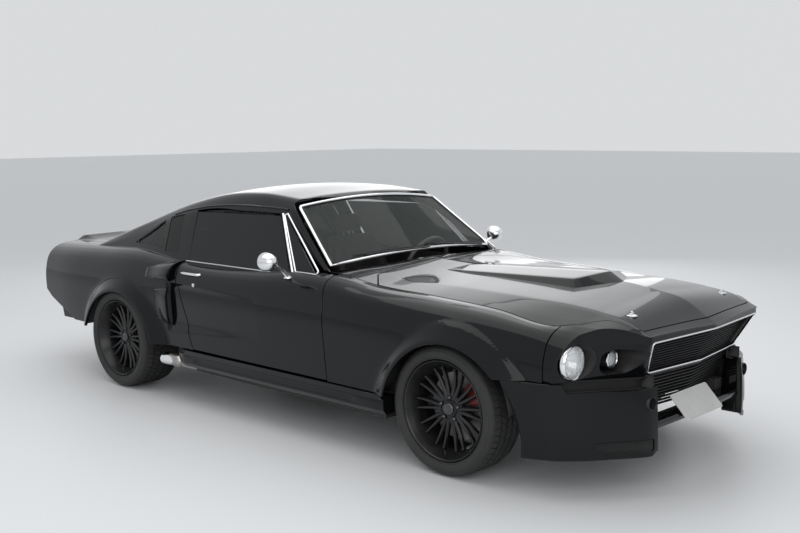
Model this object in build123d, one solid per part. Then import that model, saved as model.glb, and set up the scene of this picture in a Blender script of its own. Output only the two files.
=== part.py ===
"""Two-door fastback coupe of the late 1960s, rebuilt low and wide, as an assembly of its real pieces.

Frame: +X forward, +Y to the car's left, +Z up, origin on the ground under the middle of the car.
Places along the car are measured from the front axle and turned into the frame by at().
Everything is in millimetres.
"""
from build123d import *
from math import cos, sin, radians
import os

LENGTH = 4740
WHEELBASE = 2743
FRONT_OVERHANG = 960
X_FRONT = LENGTH / 2 - FRONT_OVERHANG
TAIL = -(LENGTH - FRONT_OVERHANG)

TYRE_R = 323
RIM_R = 246
FRONT_LIP_Y = 855
REAR_LIP_Y = 905
FRONT_RIM_W = 229
REAR_RIM_W = 267
TYRE_PROUD = 8
LOWER_ARM_Z = 196
UPPER_ARM_Z = 478

GAP = 5
SKIN = 35
DOOR_INNER_Y = 735
SILL_TOP = 345
SKIRT_BOTTOM = 244
FLOOR_Z = 205
FLOOR_T = 22
SEAM_Z = 545

FRONT_ARCH = (60, 250, 410)
REAR_ARCH = (-WHEELBASE + 28, 235, 398)
FRONT_FLARE_Y = 915
REAR_FLARE_Y = 940
WELL_R = 398

DOOR_FRONT = ((-785, SILL_TOP), (-801, 729), (-842, 862), (-850, 960))
DOOR_REAR = ((-1962, SILL_TOP), (-1990, 428), (-2112, 740), (-2150, 862), (-2165, 960))
DOOR_STEP = 16
DOOR_STEP_Y = 850
REAR_SHUT_GAP = 7

# The scoop on the quarter panel: x of its upright mouth and of its end, heights, and the lip's y.
SCOOP_MOUTH_X = -2178
SCOOP_END_X = -2440
SCOOP_Z = (742, 884)
SCOOP_LIP_Y = 910


def at(x):
    """place along the frame of a point x ahead of the front axle"""
    return X_FRONT + x


def wire_of(points):
    """closed wire through 3-D points, where an entry of two points is an arc's middle and its end"""
    edges, here = [], points[0]
    for item in list(points[1:]) + [points[0]]:
        if isinstance(item[0], tuple):
            edges.append(Edge.make_three_point_arc(here, item[0], item[1]))
            here = item[1]
        elif (Vector(*item) - Vector(*here)).length > 1e-6:
            edges.append(Edge.make_line(here, item))
            here = item
    return Wire(edges)


def lift(points, place):
    """turn an outline of flat points, with arcs, into 3-D points by the given function"""
    out = []
    for item in points:
        if isinstance(item[0], tuple):
            out.append((place(*item[0]), place(*item[1])))
        else:
            out.append(place(*item))
    return out


def prism_y(points, y0, y1):
    """outline in side view, x from the front axle, taken from y0 to y1"""
    face = Face(wire_of(lift(points, lambda x, z: (at(x), y0, z))))
    return Solid.extrude(face, Vector(0, y1 - y0, 0))


def prism_z(points, z0, z1):
    """outline in plan, x from the front axle, taken from z0 to z1"""
    face = Face(wire_of(lift(points, lambda x, y: (at(x), y, z0))))
    return Solid.extrude(face, Vector(0, 0, z1 - z0))


def prism_x(points, x0, x1):
    """outline in front view as y and z, taken from x0 to x1"""
    face = Face(wire_of(lift(points, lambda y, z: (at(x0), y, z))))
    return Solid.extrude(face, Vector(x1 - x0, 0, 0))


def block(x0, x1, y0, y1, z0, z1):
    """box between two corners, x from the front axle"""
    return prism_z([(x0, y0), (x1, y0), (x1, y1), (x0, y1)], z0, z1)


def plan_loft(low, z_low, high, z_high):
    """solid between two plan outlines at two heights"""
    wires = [wire_of([(at(x), y, z) for x, y in pts]) for pts, z in ((low, z_low), (high, z_high))]
    return Solid.make_loft(wires, True)


def disc_y(x, z, radius, y0, y1):
    """cylinder along y"""
    return Solid.make_cylinder(radius, y1 - y0, Plane((at(x), y0, z), z_dir=(0, 1, 0)))


def rod(start, end, radius):
    """round bar between two points, x from the front axle"""
    a, b = Vector(at(start[0]), *start[1:]), Vector(at(end[0]), *end[1:])
    return Solid.make_cylinder(radius, (b - a).length, Plane(a, z_dir=(b - a).normalized()))


def turned(profile, x, z, side):
    """ring turned about a wheel axis from (radius, y) points, on the side of the car given by the sign"""
    pts = lift(profile, lambda r, y: (at(x), side * y, z + r))
    face = Face(wire_of(pts))
    return Solid.revolve(face, 360, Axis((at(x), 0, z), (0, 1, 0)))


def flip(shape):
    """the same shape on the other side of the car"""
    return mirror(shape, about=Plane.XZ)


def ordered(a, b):
    return (a, b) if a < b else (b, a)


def solids_of(shape):
    return list(shape.solids())


def whole(result):
    """a boolean's result as one shape, whatever number of solids it has"""
    solids = [s for item in result for s in item.solids()] if isinstance(result, list) else result.solids()
    return solids[0] if len(solids) == 1 else Compound(list(solids))


def fuse(first, *others):
    return whole(first.fuse(*others))


def cut(first, *tools):
    return whole(first.cut(*tools))


def both(first, second):
    return whole(first.intersect(second))


def write(name, *shapes):
    parts = [s for shape in shapes for s in solids_of(shape)]
    export_step(parts[0] if len(parts) == 1 else Compound(children=parts), f"parts/{name}.step")


# The lower body's outer form: half sections, each from the crown of the deck round to the sill.
BODY_SECTIONS = (
    # x,   crown | deck ridge | panel gap | shoulder | shoulder arc | widest | sill
    (970,  733, (520, 733), (640, 690), (700, 670), (735, 640), (750, 560), (745, 345)),
    (900,  778, (520, 757), (640, 718), (705, 690), (745, 650), (765, 570), (760, 345)),
    (800,  838, (520, 802), (640, 768), (715, 732), (762, 685), (785, 590), (778, 345)),
    (640,  872, (520, 832), (660, 782), (735, 747), (785, 700), (812, 610), (800, 345)),
    (500,  891, (520, 846), (700, 780), (765, 774), (812, 736), (842, 630), (830, 345)),
    (250,  897, (520, 858), (700, 816), (780, 812), (838, 772), (872, 650), (855, 345)),
    (-150, 901, (520, 867), (700, 841), (788, 840), (850, 798), (888, 670), (868, 345)),
    (-560, 905, (520, 872), (700, 858), (792, 855), (856, 812), (893, 685), (872, 345)),
    (-850, 925, (520, 905), (700, 893), (790, 882), (856, 832), (893, 690), (872, 345)),
    (-1160, 925, (520, 905), (700, 897), (788, 890), (856, 838), (893, 690), (872, 345)),
    (-1450, 905, (520, 890), (700, 876), (790, 868), (857, 826), (893, 688), (872, 345)),
    (-2100, 890, (520, 875), (700, 862), (790, 857), (858, 818), (893, 685), (872, 345)),
    (-2400, 905, (520, 895), (700, 888), (785, 884), (858, 838), (896, 690), (874, 340)),
    (-2650, 920, (520, 912), (700, 905), (780, 898), (856, 848), (900, 695), (876, 330)),
    (-3100, 905, (520, 898), (690, 890), (772, 880), (846, 832), (888, 690), (868, 290)),
    (-3450, 893, (520, 886), (680, 876), (764, 862), (836, 812), (872, 680), (855, 385)),
    (TAIL, 885, (520, 876), (670, 862), (750, 846), (815, 790), (842, 660), (828, 530)),
)

# The cabin top's outer form: roof crown, roof edge, drip rail and belt.
CABIN_SECTIONS = (
    # x,    crown | roof edge | drip rail | belt
    (-700,  1275, (520, 1240), (575, 1195), (722, 850)),
    (-1344, 1290, (545, 1262), (612, 1200), (768, 842)),
    (-1700, 1318, (550, 1285), (622, 1205), (782, 838)),
    (-2000, 1302, (555, 1268), (622, 1200), (785, 836)),
    (-2300, 1245, (580, 1208), (640, 1150), (785, 836)),
    (-2789, 1090, (630, 1056), (680, 990), (775, 836)),
    (-3276, 920, (690, 884), (730, 870), (760, 830)),
)


def body_wire(x, crown, ridge, gap, shoulder, bend, widest, sill, drop=0):
    half = [(0, crown), ridge, gap, shoulder, (bend, widest), sill, (0, sill[1])]
    other = [(0, sill[1]), (-sill[0], sill[1]), (-widest[0], widest[1])]
    other += [((-bend[0], bend[1]), (-shoulder[0], shoulder[1])), (-gap[0], gap[1]), (-ridge[0], ridge[1])]
    return wire_of(lift(half + other, lambda y, z: (at(x), y, z - drop)))


def cabin_wire(x, crown, edge, drip, belt, inset=0):
    pts = [(0, crown - inset), (edge[0] - inset, edge[1] - inset), (drip[0] - inset, drip[1] - inset / 2)]
    pts += [(belt[0] - inset, belt[1]), (inset - belt[0], belt[1])]
    pts += [(inset - drip[0], drip[1] - inset / 2), (inset - edge[0], edge[1] - inset)]
    return wire_of([(at(x), y, z) for y, z in pts])


def body_form(drop=0):
    return Solid.make_loft([body_wire(*row, drop=drop) for row in BODY_SECTIONS], True)


def cabin_form(inset=0):
    return Solid.make_loft([cabin_wire(*row, inset=inset) for row in CABIN_SECTIONS], True)


# The windscreen's face is a cone-like sheet: an arc in plan at each height.
SCREEN_BASE = (905, -908, -818, 709)
SCREEN_TOP = (1242, -1344, -1262, 592)


def screen_arc(z):
    """corner x, middle x and half width of the windscreen's arc at height z"""
    t = (z - SCREEN_BASE[0]) / (SCREEN_TOP[0] - SCREEN_BASE[0])
    return [a + (b - a) * t for a, b in zip(SCREEN_BASE[1:], SCREEN_TOP[1:])]


def screen_slab(front, back, z_low=850, z_high=1330):
    """sheet between two copies of the windscreen's face, moved back by the two distances"""
    wires = []
    for z in (z_low, z_high):
        corner, middle, half = screen_arc(z)
        wires.append(wire_of([(at(corner - front), -half, z),
                              ((at(middle - front), 0, z), (at(corner - front), half, z)),
                              (at(corner - back), half, z),
                              ((at(middle - back), 0, z), (at(corner - back), -half, z))]))
    return Solid.make_loft(wires, True)


def screen_outline(inset):
    """front view outline of the windscreen opening, as y and z"""
    low, high = SCREEN_BASE[0] + inset, SCREEN_TOP[0] - inset
    half_low, half_high = SCREEN_BASE[3] - inset * 1.2, SCREEN_TOP[3] - inset
    return [(-half_low, low), ((0, low + 38), (half_low, low)), (half_high, high),
            ((0, high + 40), (-half_high, high))]


# Front wings
def front_wings(body):
    outline = [(x + GAP, z) for x, z in DOOR_FRONT]
    outline += [(NOSE_BACK, 960), (NOSE_BACK, SEAM_Z), (330, SEAM_Z), (330, SILL_TOP)]
    wing = both(body, prism_y(outline, -1000, -(700 + GAP)))
    x, z, r = FRONT_ARCH
    flare = cut(arch_flare(x, z, r, FRONT_FLARE_Y, 868, 95), block(x, 700, -1000, -600, 0, SEAM_Z),
                block(-700, x, -1000, -600, 0, SILL_TOP))
    wing = fuse(wing, flare)
    wing = cut(wing, disc_y(x, z, r, -1000, -600), disc_y(0, TYRE_R, WELL_R, -890, -600),
               block(-200, 600, -1000, -600, 100, SEAM_Z))
    return wing


def arch_flare(x, z, radius, y_lip, y_body, reach):
    """raised lip round a wheel opening, from its edge out to where it meets the body side"""
    profile = [(at(x) + radius - 6, -y_lip, z), (at(x) + radius + 14, -y_lip, z),
               (at(x) + radius + reach, -y_body, z), (at(x) + radius - 6, -y_body, z)]
    face = Face(wire_of(profile))
    return Solid.revolve(face, 180, Axis((at(x), 0, z), (0, -1, 0)))


def side_cove():
    """wedge taken out of the door's and quarter panel's side, which deepens rearwards below the crease"""
    low = [(-1330, -884), (SCOOP_MOUTH_X, -862), (SCOOP_MOUTH_X, -960), (-1330, -960)]
    high = [(-1330, -895), (SCOOP_MOUTH_X, -869), (SCOOP_MOUTH_X, -960), (-1330, -960)]
    return plan_loft(low, 468, high, 726)


def side_scoop():
    """raised duct behind the door: full at its mouth, it fades into the panel towards the rear"""
    low, high = SCOOP_Z
    mouth = [(-800, low - 8), (-892, low - 8), (-SCOOP_LIP_Y, low + 22), (-SCOOP_LIP_Y + 22, high - 24),
             (-846, high + 2), (-800, high + 2)]
    end = [(-800, low), (-880, low), (-884, low + 22), (-868, high - 34), (-830, high - 14),
           (-800, high - 14)]
    wires = [wire_of([(at(x), y, z) for y, z in points])
             for x, points in ((SCOOP_MOUTH_X, mouth), (SCOOP_END_X, end))]
    return Solid.make_loft(wires, True)


def scoop_mouth():
    """the duct's hollow, open forwards between the panel and the lip"""
    low, high = SCOOP_Z
    hollow = [(-858, low + 8), (-SCOOP_LIP_Y + 8, low + 22), (-SCOOP_LIP_Y + 29, high - 30),
              (-846, high - 16)]
    return prism_x(hollow, SCOOP_MOUTH_X - 60, SCOOP_MOUTH_X + 1)


def quarter_panels(body):
    x, z, r = REAR_ARCH
    outline = [(px - REAR_SHUT_GAP, pz) for px, pz in DOOR_REAR]
    outline += [(TAIL + 40, 960), (TAIL + 40, 520), (-3363, 350), (-3239, 300), (-3100, 285), (-2700, 285)]
    outline += [(-2240, 285), (-2170, SILL_TOP)]
    panel = cut(both(body, prism_y(outline, -1000, -640)), side_cove())
    panel = cut(fuse(panel, side_scoop()), scoop_mouth())
    shut_line = [(px - REAR_SHUT_GAP, pz) for px, pz in DOOR_REAR]
    panel = cut(panel, prism_y(shut_line + [(-1900, 960), (-1900, SILL_TOP)], -1000, -640))
    flare = cut(arch_flare(x, z, r, REAR_FLARE_Y, 870, 120), block(-3300, -2200, -1000, -600, 0, 285))
    panel = fuse(panel, flare)
    cabin_side = block(-2520, -1900, -DOOR_INNER_Y, -500, 200, 1000)
    boot_side = block(TAIL, -2520, -690, -500, 200, 850)
    panel = cut(panel, disc_y(x, z, r, -1000, -500), disc_y(-WHEELBASE, TYRE_R, WELL_R - 20, -920, -500),
                cabin_side, boot_side, *exhaust_room())
    house = cut(disc_y(-WHEELBASE, TYRE_R, WELL_R - 6, -760, -604),
                disc_y(-WHEELBASE, TYRE_R, WELL_R - 20, -1000, -616),
                block(-3300, -2200, -1000, -500, -200, 330),
                block(-WHEELBASE - 70, -WHEELBASE + 70, -640, -590, 300, 430))
    return fuse(panel, house)


# Doors: whole door thickness, with the belt's slot left solid
def door(body):
    outline = list(DOOR_FRONT) + list(reversed(DOOR_REAR))
    outer = cut(both(body, prism_y(outline, -1000, -DOOR_STEP_Y)), side_cove())
    inset = [(x + DOOR_STEP, z) for x, z in reversed(DOOR_REAR)]
    inner = both(body, prism_y(list(DOOR_FRONT) + inset, -DOOR_STEP_Y, -DOOR_INNER_Y))
    return fuse(outer, inner)


WINDOW = ((-905, 905), (-1392, 1182), (-2200, 1166), (-2128, 872))
VENT_BAR = ((-1160, 905), (-1380, 1182))


def side_glass(points, thick=6, outer=0):
    """sheet that leans with the cabin side, from an outline in side view"""
    def lean(z):
        return 776 - (z - 880) * 0.478
    faces = []
    for shift in (outer, outer + thick):
        faces.append(wire_of([(at(x), -(lean(z) - shift), z) for x, z in points]))
    return Solid.make_loft(faces, True)


def door_glass():
    vent = [(-935, 860), (-1116, 860), (-1372, 1170), (-1352, 1170)]
    main = [(-1146, 840), (-2102, 840), (-2182, 1156), (-1400, 1170)]
    return [side_glass(vent), side_glass(main)]


# Bonnet
BONNET = ((-560 - GAP, 695), (-700, 560), (-745, 300), (-755, 0))
BONNET_FRONT = ((915, 0), (872, 505), (835, 540), (720, 562), (632, 640), (540, 695))


SCOOP_REAR_X = -520


def bonnet_outline(grow=0):
    rear = [(x - grow, y + grow * (y > 690)) for x, y in reversed(BONNET)]
    front = [(x + grow, y + grow * (y > 690)) for x, y in reversed(BONNET_FRONT)]
    ring = rear + front
    return ring + [(x, -y) for x, y in reversed(ring) if y > 0]


def bonnet(body, lower):
    shell = cut(both(body, prism_z(bonnet_outline(), 600, 1000)), lower)
    return fuse(shell, *scoop_halves())


def scoop_halves():
    """two halves of the raised scoop, which meet in the centre crease"""
    halves = []
    for side in (1, -1):
        x = at(SCOOP_REAR_X)
        rear = [(x, 0, 896), (x, 0, 870), (x, side * 215, 862), (x, side * 205, 884)]
        front = [(at(382), 0, 941), (at(492), 0, 885), (at(360), side * 279, 850)]
        front.append(flat_fourth(front, side * 215, 917))
        halves.append(Solid.make_loft([wire_of(rear), wire_of(front)], True))
    return halves


def flat_fourth(points, y, z):
    """the point with this y and z in the plane of the first three"""
    a, b, c = (Vector(*p) for p in points)
    n = (b - a).cross(c - a)
    x = a.X - (n.Y * (y - a.Y) + n.Z * (z - a.Z)) / n.X
    return (x, y, z)


# Cowl and firewall
COWL_Y = 705
PILLAR_FOOT = -965


def cowl(body, lower):
    half = [(-572, COWL_Y), (PILLAR_FOOT, COWL_Y), (PILLAR_FOOT, 685), (-935, 660)]
    outline = half + [(x, -y) for x, y in reversed(half)]
    panel = cut(both(body, prism_z(outline, 700, 1000)), lower, prism_z(bonnet_outline(GAP), 600, 1100))
    firewall = cut(block(-800, -775, -690, 690, 300, 880), block(-850, -700, -154, 154, 200, 374))
    rim = block(-800, -762, -690, 690, 850, 880)
    return fuse(panel, both(firewall, body), both(rim, body))


# Nose: header, grille surround and lamp bays
NOSE_TOP = ((960, 0), (918, 525), (858, 550), (735, 640), (672, 700), (640, 790), (596, 850))
NOSE_LOW = ((884, 0), (836, 432), (806, 470), (708, 612), (655, 700), (628, 775), (584, 850))
NOSE_BACK = 560
LAMP_R = 79
BAR_DEPTH = 24
BAR_HEIGHT = 8


def nose(body):
    def ring(points):
        half = list(points) + [(NOSE_BACK, points[-1][1])]
        return half + [(x, -y) for x, y in reversed(half) if y > 0]
    lower = plan_loft(ring(NOSE_LOW), 548, ring(NOSE_TOP), 720)
    upper = prism_z(ring(NOSE_TOP), 720, 1000)
    form = both(fuse(lower, upper), body)
    hole = prism_z(bonnet_outline(GAP), 690, 1100)
    mouth = prism_x([(-500, 724), (500, 724), (424, 562), (-424, 562)], 600, 1000)
    cavity = block(500, 800, -470, 470, 500, 712)
    form = cut(form, hole, mouth, cavity)
    for side in (1, -1):
        lamp = rod((500, side * 715, 632), (720, side * 715, 632), LAMP_R)
        bay = rod((690, side * 545, 636), (860, side * 545, 636), 62)
        back = block(540, 640, side * 560 - 90, side * 560 + 90, 560, 700)
        form = cut(form, lamp, bay, back)
    return form


# x of the bars' front at the middle and at the end, half width, and lean for each mm of height
UPPER_GRILLE = (868, 818, 419, 75 / 183, 83 / 183, 76 / 162)
LOWER_GRILLE = (872, 826, 400, 0, 0, 0)


def grilles():
    """horizontal bars, bent at the middle, that lean with the mouth, on three posts"""
    groups = []
    for shape, rows, post_low, post_high, datum in (
            (UPPER_GRILLE, [572 + 17 * i for i in range(9)], 562, 724, 562),
            (LOWER_GRILLE, [360 + 18 * i for i in range(10)], 335, 548, 335)):
        def place(z):
            rise = z - datum
            return [shape[i] + shape[i + 3] * rise for i in range(3)]
        pieces = []
        for z in rows:
            middle, corner, half = place(z)
            front = [(middle, 0), (corner, half)]
            back = [(corner - BAR_DEPTH, half), (middle - BAR_DEPTH, 0), (corner - BAR_DEPTH, -half)]
            pieces.append(prism_z(front + back + [(corner, -half)], z, z + BAR_HEIGHT))
        for y in (-300, 0, 300):
            ends = []
            for z in (post_low, post_high):
                middle, corner, half = place(z)
                ends.append(middle + (corner - middle) * abs(y) / half - BAR_DEPTH)
            pieces.append(prism_y([(ends[0] - 6, post_low), (ends[0] + 8, post_low),
                                   (ends[1] + 8, post_high), (ends[1] - 6, post_high)], y - 5, y + 5))
        groups.append(fuse(*pieces))
    return groups


# Front valance, with the two bolt holes of the plate's bracket in its chin
PLATE_HOLES = 180
PLATE_HOLE_R = 3.25
PLATE_HOLE_Z = 275


def front_valance():
    out_top = [(895, 412), (868, 500), (716, 712), (662, 778), (560, 838), (400, 872)]
    out_low = [(905, 412), (898, 470), (722, 690), (640, 772), (590, 805), (520, 838)]
    in_top = [(400, 780), (600, 700), (800, 480), (835, 412)]
    in_low = [(520, 780), (600, 700), (800, 480), (835, 412)]
    wall = plan_loft(out_low + in_low, 192, out_top + in_top, 505)
    cheek = plan_loft([(650, 782), (560, 836), (400, 868), (400, 790), (560, 760)], 505,
                      [(640, 790), (560, 832), (400, 860), (400, 790), (560, 760)], SEAM_Z)
    wall = fuse(wall, cheek)
    x, z, r = FRONT_ARCH
    chin = prism_z([(905, -412), (905, 412), (800, 412), (800, -412)], 215, 335)
    ducts = [rod((780, side * 452, 437), (930, side * 452, 437), 30) for side in (1, -1)]
    holes = [rod((780, y, PLATE_HOLE_Z), (930, y, PLATE_HOLE_Z), PLATE_HOLE_R)
             for y in (-PLATE_HOLES / 2, PLATE_HOLES / 2)]
    valance = cut(fuse(chin, wall, flip(wall)), disc_y(x, z, r, -1000, 1000), *ducts, *holes)
    mesh_slot = [(905, 440), (740, 672), (660, 752), (600, 700), (800, 440)]
    slot = cut(prism_z(mesh_slot, 216, 272), prism_z([(875, 440), (715, 660), (640, 735), (600, 700),
                                                      (800, 440)], 216, 272))
    return cut(valance, slot, flip(slot))


# Side skirts
def side_skirt():
    section = [(-820, SKIRT_BOTTOM + 4), (-885, SKIRT_BOTTOM), (-906, 272), (-906, 318), (-880, 339),
               (-820, 339)]
    bar = prism_x(section, -2080, -330)
    x, z, r = FRONT_ARCH
    return cut(bar, disc_y(x, z, r, -1000, -700), disc_y(0, TYRE_R, WELL_R, -890, -700), *exhaust_room())


# Floor
def floor_pan():
    z0, z1 = FLOOR_Z, FLOOR_Z + FLOOR_T
    profile = [(-760, z0), (-2200, z0), (-2330, 470), (-3070, 470), (-3150, 330), (-3700, 330),
               (-3700, 330 + FLOOR_T), (-3162, 330 + FLOOR_T), (-3082, 470 + FLOOR_T),
               (-2318, 470 + FLOOR_T), (-2188, z1), (-760, z1)]
    pan = fuse(prism_y(profile, -600, 600), block(-2190, -760, -820, 820, z0, z1),
               block(-3700, -3140, -688, 688, 330, 330 + FLOOR_T))
    tunnel = prism_x([(-150, z0), (150, z0), (115, 370), (-115, 370)], -2250, -760)
    hollow = prism_x([(-130, z0 - 5), (130, z0 - 5), (97, 350), (-97, 350)], -2600, -750)
    pan = cut(fuse(pan, tunnel, block(-800, -762, -820, 820, z0, 299)), hollow)
    for side in (1, -1):
        sill = block(-2190, -400, *ordered(side * 742, side * 820), z0, 338)
        rail = prism_y([(-800, z0), (-400, 300), (800, 300), (800, 390), (-420, 390), (-760, 290)],
                       *ordered(side * 330, side * 400))
        apron = prism_y([(-760, 385), (690, 385), (690, 645), (200, 757), (-760, 757)],
                        *ordered(side * 392, side * 400))
        shelf = prism_y([(-760, 752), (200, 752), (555, 670), (555, 678), (200, 760), (-760, 760)],
                        *ordered(side * 399, side * COWL_Y))
        pan = fuse(pan, sill, rail, apron, shelf)
    radiator = block(690, 730, -400, 400, 385, 690)
    return cut(fuse(pan, radiator), *exhaust_room())


# Roof with pillars and sail panels
QUARTER_LIGHT = ((-2440, 925), (-2800, 930), (-2520, 1092))


def roof(body, outer, inner):
    shell = cut(outer, inner)
    nose_cut = screen_slab(-2500, 0, 700, 1400)
    trim_room = both(screen_slab(-40, 20), prism_x(screen_outline(12), -1600, -700))
    shell = cut(shell, nose_cut, body, prism_x(screen_outline(28), -1600, -700), trim_room)
    window = prism_y(WINDOW, -1000, 1000)
    doors = [prism_y([(PILLAR_FOOT, 700), (PILLAR_FOOT, 905), (-2142, 905), (-2160, 700)], -1000, 1000)]
    for side in (1, -1):
        doors.append(block(-970, -700, *ordered(side * COWL_Y, side * 1000), 700, 905))
    louvre = [(-2250, 905), (-2405, 905), (-2470, 1110), (-2320, 1135)]
    glass_hole = prism_z(rear_outline(0), 850, 1400)
    shell = cut(shell, window, *doors, prism_y(louvre, -1000, 1000),
                prism_y(QUARTER_LIGHT, -1000, 1000), glass_hole)
    slats = []
    for k in range(3):
        x = -2290 - 48 * k
        slat = prism_y([(x, 895), (x - 22, 895), (x - 82, 1140), (x - 60, 1140)], -1000, 1000)
        slats.append(cut(cut(both(slat, outer), inner), body))
    return biggest(fuse(shell, *slats))


def biggest(shape):
    return max(solids_of(shape), key=lambda s: s.volume)


def rear_outline(inset):
    return [(-2345 - inset, 0), (-2375 - inset, 545 - inset), (-3140 + inset, 600 - inset),
            (-3165 + inset, 0), (-3140 + inset, inset - 600), (-2375 - inset, inset - 545)]


def rear_window(outer, under):
    sheet = cut(outer, under)
    return both(sheet, prism_z(rear_outline(0), 850, 1400))


def quarter_windows():
    sheet = cut(cabin_form(inset=8), cabin_form(inset=14))
    return both(sheet, prism_y(QUARTER_LIGHT, -1000, -500))


# Boot lid with the upturned tail lip
BOOT = ((-3296, 0), (-3296, 560), (-3340, 610), (-3735, 625), (-3735, 0))


def boot_outline(grow=0):
    ring = [(x + grow * (1 if x > -3500 else -1), y + (grow if y > 0 else 0)) for x, y in BOOT]
    return ring + [(x, -y) for x, y in reversed(ring) if y > 0]


def boot_lid(body, lower):
    lid = cut(both(body, prism_z(boot_outline(), 600, 1000)), lower)
    lip = prism_y([(-3560, 872), (-3735, 905), (-3735, 860)], -560, 560)
    return fuse(lid, lip)


def deck(body, lower):
    """fixed panel round the boot lid"""
    outline = [(-3205, 639), (-3205, -639), (TAIL + 40, -639), (TAIL + 40, 639)]
    return cut(both(body, prism_z(outline, 700, 1000)), lower, prism_z(boot_outline(GAP), 600, 1100))


def tail_panel(body):
    slab = both(body, block(TAIL, TAIL + 40, -1000, 1000, 560, 1000))
    recess = block(TAIL - 10, TAIL + 12, -620, 620, 640, 800)
    return cut(slab, recess)


def tail_lamps():
    lamps = []
    for side in (1, -1):
        for k in range(3):
            y = side * (300 + 105 * k)
            lamps.append(block(TAIL + 2, TAIL + 12, y - 40, y + 40, 655, 785))
    return lamps


def rear_valance():
    section = [(-3700, 330), (-3735, 400), (TAIL + 10, 560), (TAIL + 45, 560), (-3700, 440)]
    return prism_y(section, -688, 688)


# Lamps
def headlamps():
    return [rod((560, s * 715, 632), (648, s * 715, 632), LAMP_R) for s in (1, -1)]


def driving_lamps():
    return [rod((690, s * 545, 636), (752, s * 545, 636), 40) for s in (1, -1)]


# Cabin
def seat(y):
    base = prism_y([(-1250, 240), (-1240, 400), (-1290, 430), (-1700, 400), (-1740, 240)], y - 245, y + 245)
    plinth = block(-1700, -1300, y - 190, y + 190, FLOOR_Z + FLOOR_T, 245)
    back = prism_y([(-1640, 380), (-1770, 380), (-1960, 900), (-1940, 960), (-1860, 950), (-1810, 880)],
                   y - 240, y + 240)
    head = prism_y([(-1870, 930), (-1950, 930), (-1985, 1080), (-1920, 1090)], y - 120, y + 120)
    return fuse(base, plinth, back, head)


def rear_seat():
    bench = prism_y([(-2060, FLOOR_Z + FLOOR_T), (-2060, 420), (-2100, 460), (-2465, 540), (-2610, 820),
                     (-2690, 800), (-2570, 493), (-2316, 493), (-2186, FLOOR_Z + FLOOR_T)], -560, 560)
    return cut(bench, block(-2400, -2000, -156, 156, 200, 376))


def dashboard():
    section = [(-800, 640), (-800, 845), (-1010, 850), (-1075, 790), (-1060, 700), (-980, 640)]
    pad = prism_y(section, -690, 690)
    console = block(-1450, -1000, -90, 90, 370, 560)
    column, bore = steering_plane() * Cylinder(32, 210), steering_plane() * Cylinder(18, 210)
    column = column.moved(Location(steering_plane().z_dir * -155))
    bore = bore.moved(Location(steering_plane().z_dir * -150))
    stack = block(-1060, -1000, -90, 90, 370, 660)
    return cut(fuse(pad, console, stack, column), bore)


WHEEL_HUB = (-1190, 370, 815)
WHEEL_RIM_R = 178
RIM_GRIP_R = 14
COLUMN_TILT = 22


def steering_plane():
    """plane of the steering wheel, with its normal along the column towards the driver"""
    return Plane((at(WHEEL_HUB[0]), WHEEL_HUB[1], WHEEL_HUB[2]), x_dir=(0, 1, 0),
                 z_dir=(-cos(radians(COLUMN_TILT)), 0, sin(radians(COLUMN_TILT))))


def steering_wheel():
    plane = steering_plane()
    section = Plane.XZ * Pos(WHEEL_RIM_R, 0) * RegularPolygon(RIM_GRIP_R, 8)
    rim = plane * revolve(section, Axis.Z)
    hub = plane * Pos(0, 0, -12) * Cylinder(38, 40)
    shaft = plane * Pos(0, 0, -70) * Cylinder(16, 120)
    out = [hub, shaft]
    for angle in (0, 180, 270):
        out.append(plane * Rot(0, 0, angle) * Pos(100, 0, 0) * Box(150, 26, 6))
    return fuse(rim, *out)


# Running gear: depth of the spokes' face behind the rim's lip, of the disc's back behind that face
SPOKE_DEPTH = 62
SPOKE_SPREAD = 7
DISC_DEPTH = 100
DISC_R = 168
DISC_T = 28


def tyre(x, lip_y, width, side):
    inner, outer = lip_y - width, lip_y
    bead, tread, proud = RIM_R + 2, TYRE_R, TYRE_PROUD
    half = [(bead, outer - 14), (bead + 38, outer + proud), (tread, outer - 24)]
    profile = half + [(tread, inner + 24), (bead + 38, inner - proud), (bead, inner + 14)]
    return turned(profile, x, TYRE_R, side)


def wheel(x, lip_y, width, side):
    """deep rim with ten pairs of spokes, its hub and the brake disc behind it"""
    inner, outer = lip_y - width, lip_y
    r, face = RIM_R, lip_y - SPOKE_DEPTH
    disc_back = face - DISC_DEPTH
    outside = [(r, inner), (r, inner + 13), (r - 32, inner + 24), (r - 32, outer - 60), (r, outer - 13)]
    inside = [(r - 8, outer), (r - 14, outer - 12), (r - 42, outer - 68), (r - 42, inner + 12), (r - 10, inner)]
    barrel = outside + [(r, outer)] + inside
    hub = [(0, disc_back), (62, disc_back), (62, face - 68), (75, face - 68), (75, face - 14),
           (34, face + 4), (30, face + 16), (0, face + 16)]
    disc = [(58, disc_back), (DISC_R, disc_back), (DISC_R, disc_back + DISC_T), (58, disc_back + DISC_T)]
    centre = Axis((at(x), 0, TYRE_R), (0, 1, 0))
    plan = [(-10, 60), (10, 60), (7, r - 39), (-7, r - 39)]
    spoke = prism_y(plan, side * (face - 26), side * (face - 4)).moved(Location((x, 0, TYRE_R)))
    turns = [36 * k + spread for k in range(10) for spread in (-SPOKE_SPREAD, SPOKE_SPREAD)]
    spokes = [spoke.rotate(centre, turn) for turn in turns]
    rings = [turned(profile, x, TYRE_R, side) for profile in (barrel, hub, disc)]
    return fuse(rings[0], *rings[1:], *spokes)


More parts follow.
